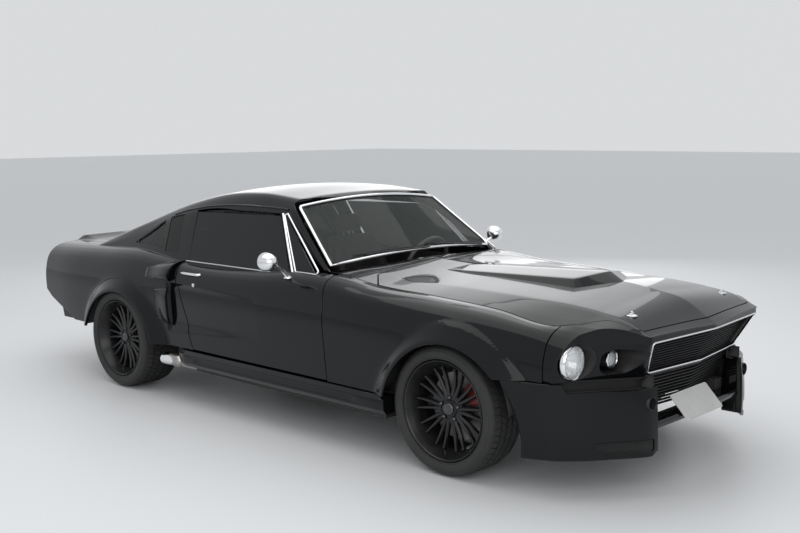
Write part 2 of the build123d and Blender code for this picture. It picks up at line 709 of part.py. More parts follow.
def caliper(x, disc_back):
    """brake caliper on the left side, a bridge over the disc's edge"""
    def spot(angle, r):
        return (x + r * cos(radians(angle)), TYRE_R + r * sin(radians(angle)))
    inner, outer = 92, DISC_R + 22
    outline = [spot(12, inner), spot(12, outer), (spot(35, outer), spot(58, outer)), spot(58, inner),
               (spot(35, inner), spot(12, inner))]
    body = prism_y(outline, disc_back - 30, disc_back + DISC_T + 30)
    return cut(body, disc_y(x, TYRE_R, DISC_R + 6, disc_back - 6, disc_back + DISC_T + 6))


def knuckle(side):
    disc_back = FRONT_LIP_Y - SPOKE_DEPTH - DISC_DEPTH
    upright = block(-45, 45, disc_back - 60, disc_back - 8, LOWER_ARM_Z + 27, UPPER_ARM_Z - 5)
    arm = block(-150, -40, disc_back - 50, disc_back - 25, TYRE_R - 70, TYRE_R - 45)
    hub = disc_y(0, TYRE_R, 40, disc_back - 40, disc_back - 5)
    carry = block(0, 110, disc_back - 55, disc_back - 25, TYRE_R + 40, TYRE_R + 100)
    carrier = fuse(upright, arm, hub, carry, caliper(0, disc_back))
    return carrier if side > 0 else flip(carrier)


def front_crossmember():
    beam = block(-60, 60, -330, 330, 200, 340)
    pieces = []
    for side in (1, -1):
        lower = prism_z([(-110, side * 300), (110, side * 300), (25, side * 680), (-25, side * 680)],
                        LOWER_ARM_Z, LOWER_ARM_Z + 22)
        upper = prism_z([(-90, side * 400), (90, side * 400), (25, side * 680), (-25, side * 680)],
                        UPPER_ARM_Z, UPPER_ARM_Z + 20)
        tower = block(-100, 100, *ordered(side * 400, side * 440), 330, 640)
        pieces += [lower, upper, tower]
    return fuse(beam, *pieces)


def rear_axle():
    x = -WHEELBASE
    disc_back = REAR_LIP_Y - SPOKE_DEPTH - DISC_DEPTH
    tube = disc_y(x, TYRE_R, 38, -(disc_back - 5), disc_back - 5)
    diff = turned([(0, -118), (70, -100), (122, -48), (122, 48), (70, 100), (0, 118)], x, TYRE_R, 1)
    pinion = rod((x + 80, 0, TYRE_R), (x + 260, 0, TYRE_R), 60)
    parts = [diff, pinion]
    shaft = rod((x + 240, 0, TYRE_R - 10), (-1151, 0, 290), 32)
    for side in (1, -1):
        y = side * 480
        spring = prism_y([(x + 503.5, 285), (x + 240, 262), (x, 250), (x - 300, 262), (x - 560, 300),
                          (x - 560, 330), (x - 540, 330), (x - 540, 318), (x - 300, 285), (x, 274),
                          (x + 240, 285), (x + 493.5, 305)], y - 30, y + 30)
        pad = block(x - 60, x + 60, y - 32, y + 32, 270, 330)
        grip = caliper(x, disc_back)
        plate = block(x, x + 110, disc_back - 30, disc_back - 12, TYRE_R - 20, TYRE_R + 100)
        if side < 0:
            grip, plate = flip(grip), flip(plate)
        parts += [spring, pad, grip, plate]
    return fuse(tube, shaft, *parts)


def engine():
    block_part = block(-640, 60, -250, 250, 400, 820)
    gearbox = prism_y([(-600, 400), (-641, 240), (-1150, 240), (-1150, 340), (-641, 345), (-600, 410)],
                      -90, 90)
    feet = block(-200, -120, -330, 330, 350, 420)
    return fuse(block_part, gearbox, feet)


EXHAUST_ROUTE = ((-420, 215, 400), (-420, 215, 262), (-780, 280, 168), (-1200, 640, 168), (-1900, 640, 168),
                 (-2100, 880, 262), (-2225, 880, 262))
EXHAUST_R = (30, 30, 30, 33, 30, 38)


def exhaust(side, grow=0):
    route = [(x, side * y, z) for x, y, z in EXHAUST_ROUTE]
    runs = [rod(a, b, r + grow) for a, b, r in zip(route, route[1:], EXHAUST_R)]
    knees = [Solid.make_sphere(r + grow, Plane((at(p[0]), p[1], p[2])), -90, 90, 360)
             for p, r in zip(route[1:-1], (30, 30, 33, 33, 38))]
    return fuse(*runs, *knees)


def exhaust_room():
    return [exhaust(1, 6), exhaust(-1, 6)]


def fuel_tank():
    return block(-3600, -3200, -330, 330, 215, 330)


def mirror_pod():
    foot = rod((-1120, -835, 868), (-1118, -872, 905), 11)
    stalk = rod((-1118, -872, 905), (-1112, -960, 952), 9)
    pod = Solid.make_sphere(52, Plane((at(-1112), -975, 960)))
    flat = block(-1300, -1145, -1100, -800, 800, 1100)
    return fuse(cut(pod, flat), stalk, foot)


os.makedirs("parts", exist_ok=True)
BODY = body_form()
BELOW = body_form(drop=SKIN)
CABIN = cabin_form()
CABIN_IN = cabin_form(inset=38)

right_wing = front_wings(BODY)
write("front_wings", right_wing, flip(right_wing))
right_quarter = quarter_panels(BODY)
tail_deck = deck(BODY, BELOW)
write("quarter_panels", right_quarter, flip(right_quarter))
glass = door_glass()
right_door = cut(door(BODY), *glass)
write("door_right", right_door)
write("door_left", flip(right_door))
write("door_glass_right", *glass)
write("door_glass_left", *[flip(pane) for pane in glass])
write("bonnet", bonnet(BODY, BELOW))
write("cowl", cowl(BODY, BELOW))
write("nose", nose(BODY))
write("grilles", *grilles())
write("front_valance", front_valance())
skirt = side_skirt()
write("side_skirts", skirt, flip(skirt))
write("floor_pan", floor_pan())
write("roof", roof(BODY, CABIN, CABIN_IN))
write("windscreen", both(screen_slab(4, 12), prism_x(screen_outline(30), -1600, -700)))
ring = both(screen_slab(-6, 20), prism_x(screen_outline(12), -1600, -700))
write("windscreen_trim", cut(ring, prism_x(screen_outline(30), -1700, -600)))
write("rear_window", rear_window(CABIN, CABIN.moved(Location((0, 0, -8)))))
quarter_glass = quarter_windows()
write("quarter_windows", quarter_glass, flip(quarter_glass))
write("boot_lid", boot_lid(BODY, BELOW))
write("tail_panel", fuse(tail_panel(BODY), tail_deck))
write("tail_lamps", *tail_lamps())
write("rear_valance", rear_valance())
write("headlamps", *headlamps())
write("driving_lamps", *driving_lamps())
write("seats", seat(400), seat(-400))
write("rear_seat", rear_seat())
write("dashboard", dashboard())
write("steering_wheel", steering_wheel())
write("engine", engine())
write("front_crossmember", front_crossmember())
write("rear_axle", rear_axle())
write("exhaust", exhaust(1), exhaust(-1))
write("fuel_tank", fuel_tank())
pod = cut(mirror_pod(), right_door)
write("mirror_right", pod)
write("mirror_left", flip(pod))
for side, label in ((1, "left"), (-1, "right")):
    write(f"knuckle_{label}", knuckle(side))
    for end, x, lip, width in (("front", 0, FRONT_LIP_Y, FRONT_RIM_W),
                               ("rear", -WHEELBASE, REAR_LIP_Y, REAR_RIM_W)):
        write(f"wheel_{end}_{label}", wheel(x, lip, width, side))
        write(f"tyre_{end}_{label}", tyre(x, lip, width, side))
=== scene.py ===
"""Two-door fastback coupe of the late 1960s in gloss black, lowered on wide wheels, dressed over its CAD frame.

Tables are in millimetres, measured from the front axle with x forward, y to the left and z up from the ground.
They become metres in the shared frame where a mesh is made.
"""
import bmesh
import bpy
import numpy as np
from math import cos, pi, radians, sin
from mathutils import Matrix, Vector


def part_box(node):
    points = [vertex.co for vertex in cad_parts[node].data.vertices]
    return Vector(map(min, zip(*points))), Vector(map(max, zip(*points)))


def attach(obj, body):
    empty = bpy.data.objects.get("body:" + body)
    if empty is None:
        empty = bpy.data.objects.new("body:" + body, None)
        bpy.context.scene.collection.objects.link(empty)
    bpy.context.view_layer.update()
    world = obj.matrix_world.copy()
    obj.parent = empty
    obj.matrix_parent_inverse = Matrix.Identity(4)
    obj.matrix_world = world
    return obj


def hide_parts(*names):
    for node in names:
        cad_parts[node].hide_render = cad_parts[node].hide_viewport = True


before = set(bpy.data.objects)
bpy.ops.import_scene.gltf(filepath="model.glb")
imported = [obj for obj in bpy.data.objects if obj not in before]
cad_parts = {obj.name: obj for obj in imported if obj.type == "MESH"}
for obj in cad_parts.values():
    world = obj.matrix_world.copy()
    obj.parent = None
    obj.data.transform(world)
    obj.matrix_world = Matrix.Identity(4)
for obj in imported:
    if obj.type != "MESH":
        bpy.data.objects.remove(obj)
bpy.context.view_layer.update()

# The room: a pale seamless floor under a pale, even sky, with three large soft lamps.
# It is where the car is photographed and isn't part of it. The camera stands low at the right front corner.
scene = bpy.context.scene
scene.view_settings.view_transform = "Standard"
tyre_low, tyre_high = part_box("tyre_front_left")
AXLE_X = (tyre_low[0] + tyre_high[0]) * 500

CAMERA_AT = (3186.9, -4512.2, 1657.6)
CAMERA_AZIMUTH, CAMERA_ELEVATION, CAMERA_ROLL = radians(43.326), radians(7.496), radians(-0.463)
FOCAL_PX, PHOTO_WIDTH, SENSOR = 1045.56, 800, 36


def metres(points):
    """points from the front axle in mm, as metres in the shared frame"""
    points = np.asarray(points, float)
    return (points + (AXLE_X, 0, 0)) / 1000


def camera_axes(azimuth, elevation, roll):
    """right, up and back unit vectors of a view from that azimuth and elevation, turned by roll"""
    back = np.array([sin(azimuth) * cos(elevation), -cos(azimuth) * cos(elevation), sin(elevation)])
    right = np.cross(-back, (0, 0, 1))
    right /= np.linalg.norm(right)
    up = np.cross(back, right)
    return right * cos(roll) + up * sin(roll), up * cos(roll) - right * sin(roll), back


def placed(thing, spot, axes):
    """links an object at a spot in mm from the front axle, with its own x, y and z along the three axes"""
    turn = Matrix(np.transpose(axes).tolist()).to_4x4()
    thing.matrix_world = Matrix.Translation(metres(spot)) @ turn
    scene.collection.objects.link(thing)
    return thing


lens = bpy.data.cameras.new("camera")
lens.sensor_fit, lens.sensor_width = "HORIZONTAL", SENSOR
lens.lens = SENSOR * FOCAL_PX / PHOTO_WIDTH
scene.camera = placed(bpy.data.objects.new("camera", lens), CAMERA_AT,
                      camera_axes(CAMERA_AZIMUTH, CAMERA_ELEVATION, CAMERA_ROLL))


class Tone:
    """One socket of a finish. Sums, differences, products and quotients of tones and numbers are Math nodes."""

    def __init__(self, finish, node, socket):
        self.finish, self.node, self.socket = finish, node, socket

    def out(self, name):
        return Tone(self.finish, self.node, self.node.outputs[name])

    def maths(self, operation, first, second):
        return self.finish.node("ShaderNodeMath", {"operation": operation}, {0: first, 1: second})

    def __add__(self, other):
        return self.maths("ADD", self, other)

    def __radd__(self, other):
        return self.maths("ADD", other, self)

    def __sub__(self, other):
        return self.maths("SUBTRACT", self, other)

    def __rsub__(self, other):
        return self.maths("SUBTRACT", other, self)

    def __mul__(self, other):
        return self.maths("MULTIPLY", self, other)

    def __rmul__(self, other):
        return self.maths("MULTIPLY", other, self)

    def __truediv__(self, other):
        return self.maths("DIVIDE", self, other)


class Finish:
    """One node tree, of a material or of the world, with one method for every kind of node."""

    def __init__(self, owner):
        self.owner = owner
        owner.use_nodes = True
        self.tree = owner.node_tree

    def put(self, socket, value):
        if isinstance(value, Tone):
            self.tree.links.new(value.socket, socket)
        else:
            socket.default_value = value

    def node(self, kind, settings=None, values=None):
        node = self.tree.nodes.new(kind)
        for key, value in (settings or {}).items():
            if key == "stops":
                while len(node.color_ramp.elements) < len(value):
                    node.color_ramp.elements.new(1.0)
                for element, (place, colour) in zip(node.color_ramp.elements, value):
                    element.position, element.color = place, colour
            else:
                setattr(node, key, value)
        for key, value in (values or {}).items():
            self.put(node.inputs[key], value)
        return Tone(self, node, node.outputs[0] if node.outputs else None)


SKY_SEEN, SKY_LIGHT = 0.72, 0.62
room = Finish(bpy.data.worlds.new("room"))
scene.world = room.owner
rays = room.node("ShaderNodeLightPath")
seen = rays.out("Is Camera Ray") + rays.out("Is Glossy Ray") + rays.out("Is Transmission Ray")
strength = room.node("ShaderNodeClamp", {}, {0: seen}) * (SKY_SEEN - SKY_LIGHT) + SKY_LIGHT
sky = room.tree.nodes["Background"]
room.put(sky.inputs["Color"], (0.96, 0.98, 1.0, 1))
room.put(sky.inputs["Strength"], strength)

LAMPS = (
    # name, place, aimed at, width and height in metres, watts
    ("overhead", (-1400, 0, 4400), (-1400, 0, 0), 7.0, 4.4, 105),
    ("right_front", (3200, -4200, 2900), (-600, -600, 500), 5.0, 3.4, 80),
    ("left_rear", (-5200, 4600, 3000), (-1600, 0, 600), 6.4, 4.2, 68),
)
for name, place, aim, width, height, watts in LAMPS:
    light = bpy.data.lights.new(name, "AREA")
    light.shape, light.size, light.size_y, light.energy = "RECTANGLE", width, height, watts
    back = np.subtract(place, aim) / np.linalg.norm(np.subtract(place, aim))
    side = np.cross((0, 0, 1), back)
    level = np.linalg.norm(side)
    side = side / level if level > 0.1 else np.array((0, 1, 0))
    placed(bpy.data.objects.new(name, light), place, (side, np.cross(back, side), back))


def new_mesh(name, points, faces, material, smooth_angle=35):
    """object of that name from points in mm and a list of faces, smooth but for edges over the angle"""
    data = bpy.data.meshes.new(name)
    data.from_pydata(metres(points), [], faces)
    data.validate()
    data.polygons.foreach_set("use_smooth", np.ones(len(data.polygons), bool))
    data.set_sharp_from_angle(angle=radians(smooth_angle))
    data.materials.append(material)
    piece = bpy.data.objects.new(name, data)
    scene.collection.objects.link(piece)
    return piece


SLOT_OF = {}


def plain_material(name, colour, roughness, metallic=0.0, slot=None, **more):
    """new Principled finish with these plain values, for the record's slot of that name or else of its own"""
    finish = Finish(bpy.data.materials.new(name))
    SLOT_OF[finish.owner.name] = slot or name
    finish.shader = finish.tree.nodes["Principled BSDF"]
    values = {"Base Color": (*colour, 1), "Roughness": roughness, "Metallic": metallic}
    values.update({key.replace("_", " "): value for key, value in more.items()})
    for key, value in values.items():
        finish.shader.inputs[key].default_value = value
    return finish


FLOOR_HALF = 60000
floor_corners = [(x * FLOOR_HALF, y * FLOOR_HALF, 0) for x, y in ((-1, -1), (1, -1), (1, 1), (-1, 1))]
floor_finish = plain_material("pale_floor", (0.78, 0.79, 0.80), 0.45)
floor = new_mesh("floor", floor_corners, [(0, 1, 2, 3)], floor_finish.owner)

# The skin: the lower body's form from the bonnet's crown round the shoulder to the sill, as pressed steel
# panels follow it. The stations are the same driving sizes as the solid body's, joined here by smooth curves.
STATIONS = np.array([
    # x, crown | ridge y z | gap y z | shoulder y z | bend y z | widest y z | sill y z
    (-3780, 885, 520, 876, 670, 862, 750, 846, 815, 790, 842, 660, 828, 345),
    (-3450, 893, 520, 886, 680, 876, 764, 862, 836, 812, 872, 680, 855, 345),
    (-3100, 905, 520, 898, 690, 890, 772, 880, 846, 832, 888, 690, 868, 345),
    (-2650, 920, 520, 912, 700, 905, 780, 898, 856, 848, 900, 695, 876, 345),
    (-2400, 905, 520, 895, 700, 888, 785, 884, 858, 838, 896, 690, 874, 345),
    (-2100, 890, 520, 875, 700, 862, 790, 857, 858, 818, 893, 685, 872, 345),
    (-1450, 905, 520, 890, 700, 876, 790, 868, 857, 826, 893, 688, 872, 345),
    (-1160, 925, 520, 905, 700, 897, 788, 890, 856, 838, 893, 690, 872, 345),
    (-850, 925, 520, 905, 700, 893, 790, 882, 856, 832, 893, 690, 872, 345),
    (-560, 905, 520, 872, 700, 858, 792, 855, 856, 812, 893, 685, 872, 345),
    (-150, 901, 520, 867, 700, 841, 788, 840, 850, 798, 888, 670, 868, 345),
    (250, 897, 520, 858, 700, 816, 780, 812, 838, 772, 872, 650, 855, 345),
    (500, 891, 520, 846, 700, 780, 765, 774, 812, 736, 842, 630, 830, 345),
    (640, 872, 520, 832, 660, 782, 735, 747, 785, 700, 812, 610, 800, 345),
    (800, 838, 520, 802, 640, 768, 715, 732, 762, 685, 785, 590, 778, 345),
    (900, 778, 520, 757, 640, 718, 705, 690, 745, 650, 765, 570, 760, 345),
    (970, 733, 520, 733, 640, 690, 700, 670, 735, 640, 750, 560, 745, 345)], float)
RIDGE_S, GAP_S, SHOULDER_S, BEND_S, WIDEST_S, SILL_S = 520, 700, 792, 868, 1000, 1345
SIDE_KNOTS = np.array([GAP_S, SHOULDER_S, BEND_S, WIDEST_S, SILL_S], float)
RIDGE_EASE = 12
FRONT_ARCH = (60, 250, 410)
REAR_ARCH = (-2715, 235, 398)
# x, z and radius of the opening, y of the lip, y where the flare dies out, reach
FLARES = ((*FRONT_ARCH, 915, 866, 95), (*REAR_ARCH, 940, 868, 120))
FLARE_LAND, FLARE_BLEND, FLARE_FALL = 14, 9, 2.6
TAIL = -3780


def smooth(x, knots, values):
    """cubic curve through the values at the knots, whose slope at a knot is that of the parabola through
    it and its neighbours"""
    x = np.clip(x, knots[0], knots[-1])
    i = np.clip(np.searchsorted(knots, x, side="right") - 1, 0, len(knots) - 2)
    h = (knots[i + 1] - knots[i])[..., None]
    t = (x - knots[i])[..., None] / h
    m = np.gradient(values, knots, axis=0)
    return ((2 * t**3 - 3 * t**2 + 1) * values[i] + (t**3 - 2 * t**2 + t) * h * m[i]
            + (3 * t**2 - 2 * t**3) * values[i + 1] + (t**3 - t**2) * h * m[i + 1])


def ramp(t):
    """0 below 0, 1 above 1 and a half wave between"""
    t = np.clip(t, 0, 1)
    return t * t * (3 - 2 * t)


def rounded(s, knots, points, width):
    """straight lines through the points of each station at the knots, with their corners eased by an
    average over that width to each side"""
    total = 0
    for shift, weight in ((-1, 1), (-0.5, 2), (0, 3), (0.5, 2), (1, 1)):
        at = s + shift * width
        i = np.clip(np.searchsorted(knots, at, side="right") - 1, 0, len(knots) - 2)
        share = ((at - knots[i]) / (knots[i + 1] - knots[i]))[..., None]
        near, far = (np.take_along_axis(points, k[..., None, None], axis=-2)[..., 0, :] for k in (i, i + 1))
        total = total + weight * (near + (far - near) * share)
    return total / 9


def flare(x, y, z):
    """y raised to the arch flares: flat at the lip, a straight fall to the side and a steep one beyond"""
    for ax, az, radius, lip, foot, reach in FLARES:
        out = np.hypot(x - ax, np.maximum(z - az, 0)) - radius - FLARE_LAND
        width = reach - FLARE_LAND
        raised = lip - (lip - foot) * np.clip(out, 0, width) / width - FLARE_FALL * np.maximum(out - width, 0)
        y = (y + raised + np.hypot(y - raised, FLARE_BLEND)) / 2
    return y


SCULPT_START, SCULPT_END, SCULPT_DEPTH = -1330, -2190, 24


def sculpt(x, y, z):
    """y sunk between two creases that part towards the rear, and ends at the upright edge of the side scoop"""
    run = np.clip((SCULPT_START - x) / (SCULPT_START - SCULPT_END), 0, 1)
    upper = 722 + 20 * run
    lower = 480 - 40 * run
    down = np.clip((upper - z) / 42, 0, 1)
    rise = np.clip((z - lower) / 60, 0, 1)
    end = 1 - ramp((SCULPT_END - x) / 22)
    return y - SCULPT_DEPTH * run * down * (2 - down) * rise * (2 - rise) * end


def skin(x, s):
    """point of the outer skin at x, s mm round the section from the crown; s is negative on the right"""
    x, s = np.asarray(x, float), np.asarray(s, float)
    row = smooth(x, STATIONS[:, 0], STATIONS[:, 1:])
    crown, ridge_y, ridge_z, gap_y, gap_z = (row[..., k] for k in range(5))
    a = np.abs(s)
    rise = (ridge_z - crown) / RIDGE_S
    fall = (gap_z - ridge_z) / (GAP_S - RIDGE_S)
    t = a - RIDGE_S
    ease = np.clip((GAP_S - a) / 60, 0, 1)
    bent = (np.hypot(t, RIDGE_EASE) - RIDGE_EASE) * ease + np.abs(t) * (1 - ease)
    top_z = ridge_z + (rise + fall) / 2 * t + (fall - rise) / 2 * bent
    top_y = np.where(a < RIDGE_S, ridge_y * a / RIDGE_S,
                     ridge_y + (gap_y - ridge_y) * (a - RIDGE_S) / (GAP_S - RIDGE_S))
    pts = np.stack([row[..., 3::2], row[..., 4::2]], axis=-1)
    width = np.clip(a - GAP_S, 0, 62)
    side = rounded(a, SIDE_KNOTS, pts, width)
    y, z = side[..., 0], side[..., 1]
    y = sculpt(x, flare(x, y, z), z)
    on_top = a <= GAP_S
    y, z = np.where(on_top, top_y, y), np.where(on_top, top_z, z)
    return np.stack([x, np.where(s < 0, -y, y), z], axis=-1)


def s_at_height(x, z):
    """distance round the section at which the side at x has height z"""
    s = np.linspace(SHOULDER_S, SILL_S, 240)
    x, z = np.atleast_1d(np.asarray(x, float)), np.atleast_1d(np.asarray(z, float))
    heights = skin(x[:, None] + 0 * s, s[None, :] + 0 * x[:, None])[..., 2]
    i = np.clip((heights > z[:, None]).sum(axis=1), 1, len(s) - 1)
    upper, lower = heights[np.arange(len(x)), i - 1], heights[np.arange(len(x)), i]
    return s[i - 1] + (s[i] - s[i - 1]) * (upper - z) / np.maximum(upper - lower, 1e-9)


def side_view(points):
    """outline given as x and height on the car's side, as x and distance round the section"""
    points = np.asarray(points, float)
    return np.stack([points[:, 0], s_at_height(points[:, 0], points[:, 1])], axis=1)


def s_at_width(x, y):
    """distance round the section at which the top at x has that half width"""
    row = smooth(np.asarray(x, float), STATIONS[:, 0], STATIONS[:, 1:])
    a = np.abs(y)
    inner = RIDGE_S * a / row[..., 1]
    outer = RIDGE_S + (GAP_S - RIDGE_S) * (a - row[..., 1]) / (row[..., 3] - row[..., 1])
    return np.sign(y) * np.where(a < row[..., 1], inner, outer)


def plan_view(points):
    """outline given as x and y on the car's top, as x and distance round the section"""
    points = np.asarray(points, float)
    return np.stack([points[:, 0], s_at_width(points[:, 0], points[:, 1])], axis=1)


def dense(loop, step=6.0):
    """closed polygon with points added along its sides, no further apart than the step"""
    loop = np.asarray(loop, float)
    out = []
    for a, b in zip(loop, np.roll(loop, -1, axis=0)):
        n = max(1, int(np.ceil(np.linalg.norm(b - a) / step)))
        out.append(a + (b - a) * np.arange(n)[:, None] / n)
    return np.concatenate(out)


def near_loops(points, loops):
    """distance to the nearest side of the closed loops, that nearest point, and whether inside by crossings"""
    best = np.full(len(points), 1e18)
    spot = np.zeros_like(points)
    inside = np.zeros(len(points), bool)
    for loop in loops:
        a, b = loop, np.roll(loop, -1, axis=0)
        for begin in range(0, len(points), 4000):
            part = slice(begin, begin + 4000)
            p = points[part][:, None, :]
            t = np.clip(((p - a) * (b - a)).sum(-1) / np.maximum(((b - a) ** 2).sum(-1), 1e-12), 0, 1)
            foot = a + t[..., None] * (b - a)
            d = ((p - foot) ** 2).sum(-1)
            k = d.argmin(axis=1)
            row = np.arange(len(k))
            closer = d[row, k] < best[part]
            best[part] = np.where(closer, d[row, k], best[part])
            spot[part] = np.where(closer[:, None], foot[row, k], spot[part])
            spans = (a[:, 1] > p[..., 1]) != (b[:, 1] > p[..., 1])
            cross = a[:, 0] + (p[..., 1] - a[:, 1]) / np.where(b[:, 1] == a[:, 1], 1e-12, b[:, 1] - a[:, 1]) * (
                b[:, 0] - a[:, 0])
            inside[part] ^= (spans & (p[..., 0] < cross)).sum(axis=1) % 2 == 1
    return np.sqrt(best), spot, inside


def flat_area(points, faces):
    """area of each flat face, negative if it is turned over"""
    ahead = np.roll(points[faces], -1, axis=1)
    return (points[faces][..., 0] * ahead[..., 1] - points[faces][..., 1] * ahead[..., 0]).sum(axis=1) / 2


def trimmed(outline, holes=(), cell=11.0):
    """flat grid of square cells cut to an outline with holes: each crossing of the outline with the grid
    draws the grid's nearest corner onto it, so that the edge of the sheet is the outline"""
    loops = [dense(loop) for loop in (outline, *holes)]
    low, high = loops[0].min(axis=0) - cell, loops[0].max(axis=0) + cell
    us = np.arange(np.floor(low[0] / cell), np.ceil(high[0] / cell) + 1) * cell
    vs = np.arange(np.floor(low[1] / cell), np.ceil(high[1] / cell) + 1) * cell
    grid = np.stack(np.meshgrid(us, vs, indexing="ij"), axis=-1).reshape(-1, 2)
    gap, spot, inside = near_loops(grid, loops)
    close = gap < cell * 0.52
    corners = []
    for loop in (outline, *holes):
        loop = np.asarray(loop, float)
        ahead, back = np.roll(loop, -1, axis=0) - loop, loop - np.roll(loop, 1, axis=0)
        turn = np.abs(np.arctan2(ahead[:, 0] * back[:, 1] - ahead[:, 1] * back[:, 0], (ahead * back).sum(1)))
        corners.append(loop[turn > radians(20)])
    points = np.where(close[:, None], spot, grid)
    for corner in np.concatenate(corners):
        reach = np.where(close | inside, ((points - corner) ** 2).sum(axis=1), 1e18)
        points[reach.argmin()] = corner
    kept = close | inside
    number = np.arange(len(grid)).reshape(len(us), len(vs))
    quads = np.stack([number[:-1, :-1], number[1:, :-1], number[1:, 1:], number[:-1, 1:]],
                     axis=-1).reshape(-1, 4)
    held = kept[quads]
    all_close = close[quads].all(axis=1)
    middle = points[quads].mean(axis=1)
    centre_in = np.ones(len(quads), bool)
    if all_close.any():
        centre_in[all_close] = near_loops(middle[all_close], loops)[2]
    full = quads[held.all(axis=1) & centre_in]
    three = held.sum(axis=1) == 3
    corner_tris = quads[three][held[three]].reshape(-1, 3)
    if len(corner_tris):
        middle = points[corner_tris].mean(axis=1)
        corner_tris = corner_tris[near_loops(middle, loops)[2]]
    full, corner_tris = (faces[flat_area(points, faces) > 0.05 * cell * cell] for faces in (full, corner_tris))
    used = np.unique(np.concatenate([full.ravel(), corner_tris.ravel()]))
    renumber = np.full(len(grid), -1)
    renumber[used] = np.arange(len(used))
    return points[used], renumber[full], renumber[corner_tris]


def face_normals(points, quads, tris):
    """unit normal at each point, from the faces round it by their area"""
    total = np.zeros_like(points)
    for faces in (quads, tris):
        if len(faces):
            a, b, c, d = (points[faces[:, k]] for k in (0, 1, -2, -1))
            n = np.cross(c - a, d - b)
            for k in range(faces.shape[1]):
                np.add.at(total, faces[:, k], n)
    return total / np.maximum(np.linalg.norm(total, axis=1), 1e-12)[:, None]


def open_edges(quads, tris):
    """directed edges that only one face has"""
    edges = [np.stack([quads[:, k], quads[:, (k + 1) % 4]], 1) for k in range(4)]
    edges += [np.stack([tris[:, k], tris[:, (k + 1) % 3]], 1) for k in range(3) if len(tris)]
    edges = np.concatenate(edges)
    size = edges.max() + 1
    return edges[~np.isin(edges[:, 0] * size + edges[:, 1], edges[:, 1] * size + edges[:, 0])]


CHAMFER = 1.6


def shell(name, flat, surface, back, material, outward, chamfer=CHAMFER):
    """closed panel: a trimmed flat sheet taken onto the surface, its edge broken by a small chamfer and
    carried to the back, which is the front moved by a thickness or by a function. The front looks along
    outward, a direction or a function that gives one for each point"""
    plane, quads, tris = flat
    front = surface(plane[:, 0], plane[:, 1])
    normal = face_normals(front, quads, tris)
    if (normal * (outward(front) if callable(outward) else outward)).sum() < 0:
        quads, tris, normal = quads[:, ::-1], tris[:, ::-1], -normal
    behind = back(front, normal) if callable(back) else front - normal * back
    edge = open_edges(quads, tris)
    along = front[edge[:, 1]] - front[edge[:, 0]]
    out = np.cross(along, (normal[edge[:, 0]] + normal[edge[:, 1]]) / 2)
    spread = np.zeros_like(front)
    for k in range(2):
        np.add.at(spread, edge[:, k], out / np.maximum(np.linalg.norm(out, axis=1), 1e-9)[:, None])
    rim = np.unique(edge)
    spread = spread[rim] / np.maximum(np.linalg.norm(spread[rim], axis=1), 1e-9)[:, None]
    rim_front, rim_normal = front[rim].copy(), normal[rim]
    front[rim] -= spread * chamfer
    count, place = len(front), np.full(len(front), -1)
    place[rim] = np.arange(len(rim))
    points = np.concatenate([front, behind, rim_front - rim_normal * chamfer])
    starts = [rim, 2 * count + np.arange(len(rim)), count + rim]
    walls = []
    i, j = place[edge[:, 0]], place[edge[:, 1]]
    for near, far in zip(starts, starts[1:]):
        walls.append(np.stack([near[j], near[i], far[i], far[j]], 1))
    faces = np.concatenate([quads, quads[:, ::-1] + count, *walls]).tolist()
    faces += np.concatenate([tris, tris[:, ::-1] + count]).tolist() if len(tris) else []
    return new_mesh(name, points, faces, material)


def xyz(x, y, z):
    """points from their coordinates, any of which may be one number for all"""
    return np.stack(np.broadcast_arrays(x, y, z), axis=-1).astype(float)


def away_from_middle(points):
    """direction from the car's long axis, at wheel height, to each point"""
    return points - xyz(points[:, 0], 0, 500)


def mirrored(piece, name):
    """copy of a piece on the other side of the car, with its faces turned outwards again"""
    data = piece.data.copy()
    data.name = name
    data.transform(Matrix.Scale(-1, 4, (0, 1, 0)))
    data.flip_normals()
    other = bpy.data.objects.new(name, data)
    scene.collection.objects.link(other)
    return other


def arc(centre, radius, start, end, steps):
    """points on a circle, angles in degrees from +x towards +z"""
    angle = np.radians(np.linspace(start, end, steps))
    return np.stack([centre[0] + radius * np.cos(angle), centre[1] + radius * np.sin(angle)], axis=1)


# Paint: black basecoat under deep clear lacquer, on every outer panel. It has a faint orange peel and
# a little dust that dulls the gloss in patches.
def gloss_black(name, colour=(0.0035, 0.0038, 0.0044)):
    finish = plain_material(name, colour, 0.22, Coat_Roughness=0.012, Coat_IOR=1.32, Specular_IOR_Level=0.05)
    place = finish.node("ShaderNodeTexCoord").out("Object")
    peel = finish.node("ShaderNodeTexNoise", {}, {"Vector": place, "Scale": 55.0, "Detail": 2.0})
    dust = finish.node("ShaderNodeTexNoise", {}, {"Vector": place, "Scale": 3.1, "Detail": 6.0})
    finish.put(finish.shader.inputs["Roughness"], 0.12 + dust * 0.16)
    finish.put(finish.shader.inputs["Coat Weight"], 1.0 - dust * 0.12)
    bump = finish.node("ShaderNodeBump", {}, {"Strength": 0.012, "Distance": 0.002, "Height": peel})
    finish.put(finish.shader.inputs["Normal"], bump)
    return finish.owner


paint = gloss_black("gloss_black_paint")
SIDES = ((1, "left"), (-1, "right"))


def add_panel(piece, body, node, slot=None):
    """the piece moves with the body and stands for the node, whose CAD part it hides; the slot, its finish's or
    the one given, is worked out but not used
    """
    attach(piece, body)
    if node:
        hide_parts(node)
    slot = slot or SLOT_OF[piece.data.materials[0].name]
    return piece


def add_pair(piece, body, node):
    """the right side's piece and its mirror image; SIDE in the body and the node stands for the side's name"""
    for side, part in (("right", piece), ("left", mirrored(piece, piece.name.replace("right", "left")))):
        add_panel(part, body.replace("SIDE", side), node and node.replace("SIDE", side))


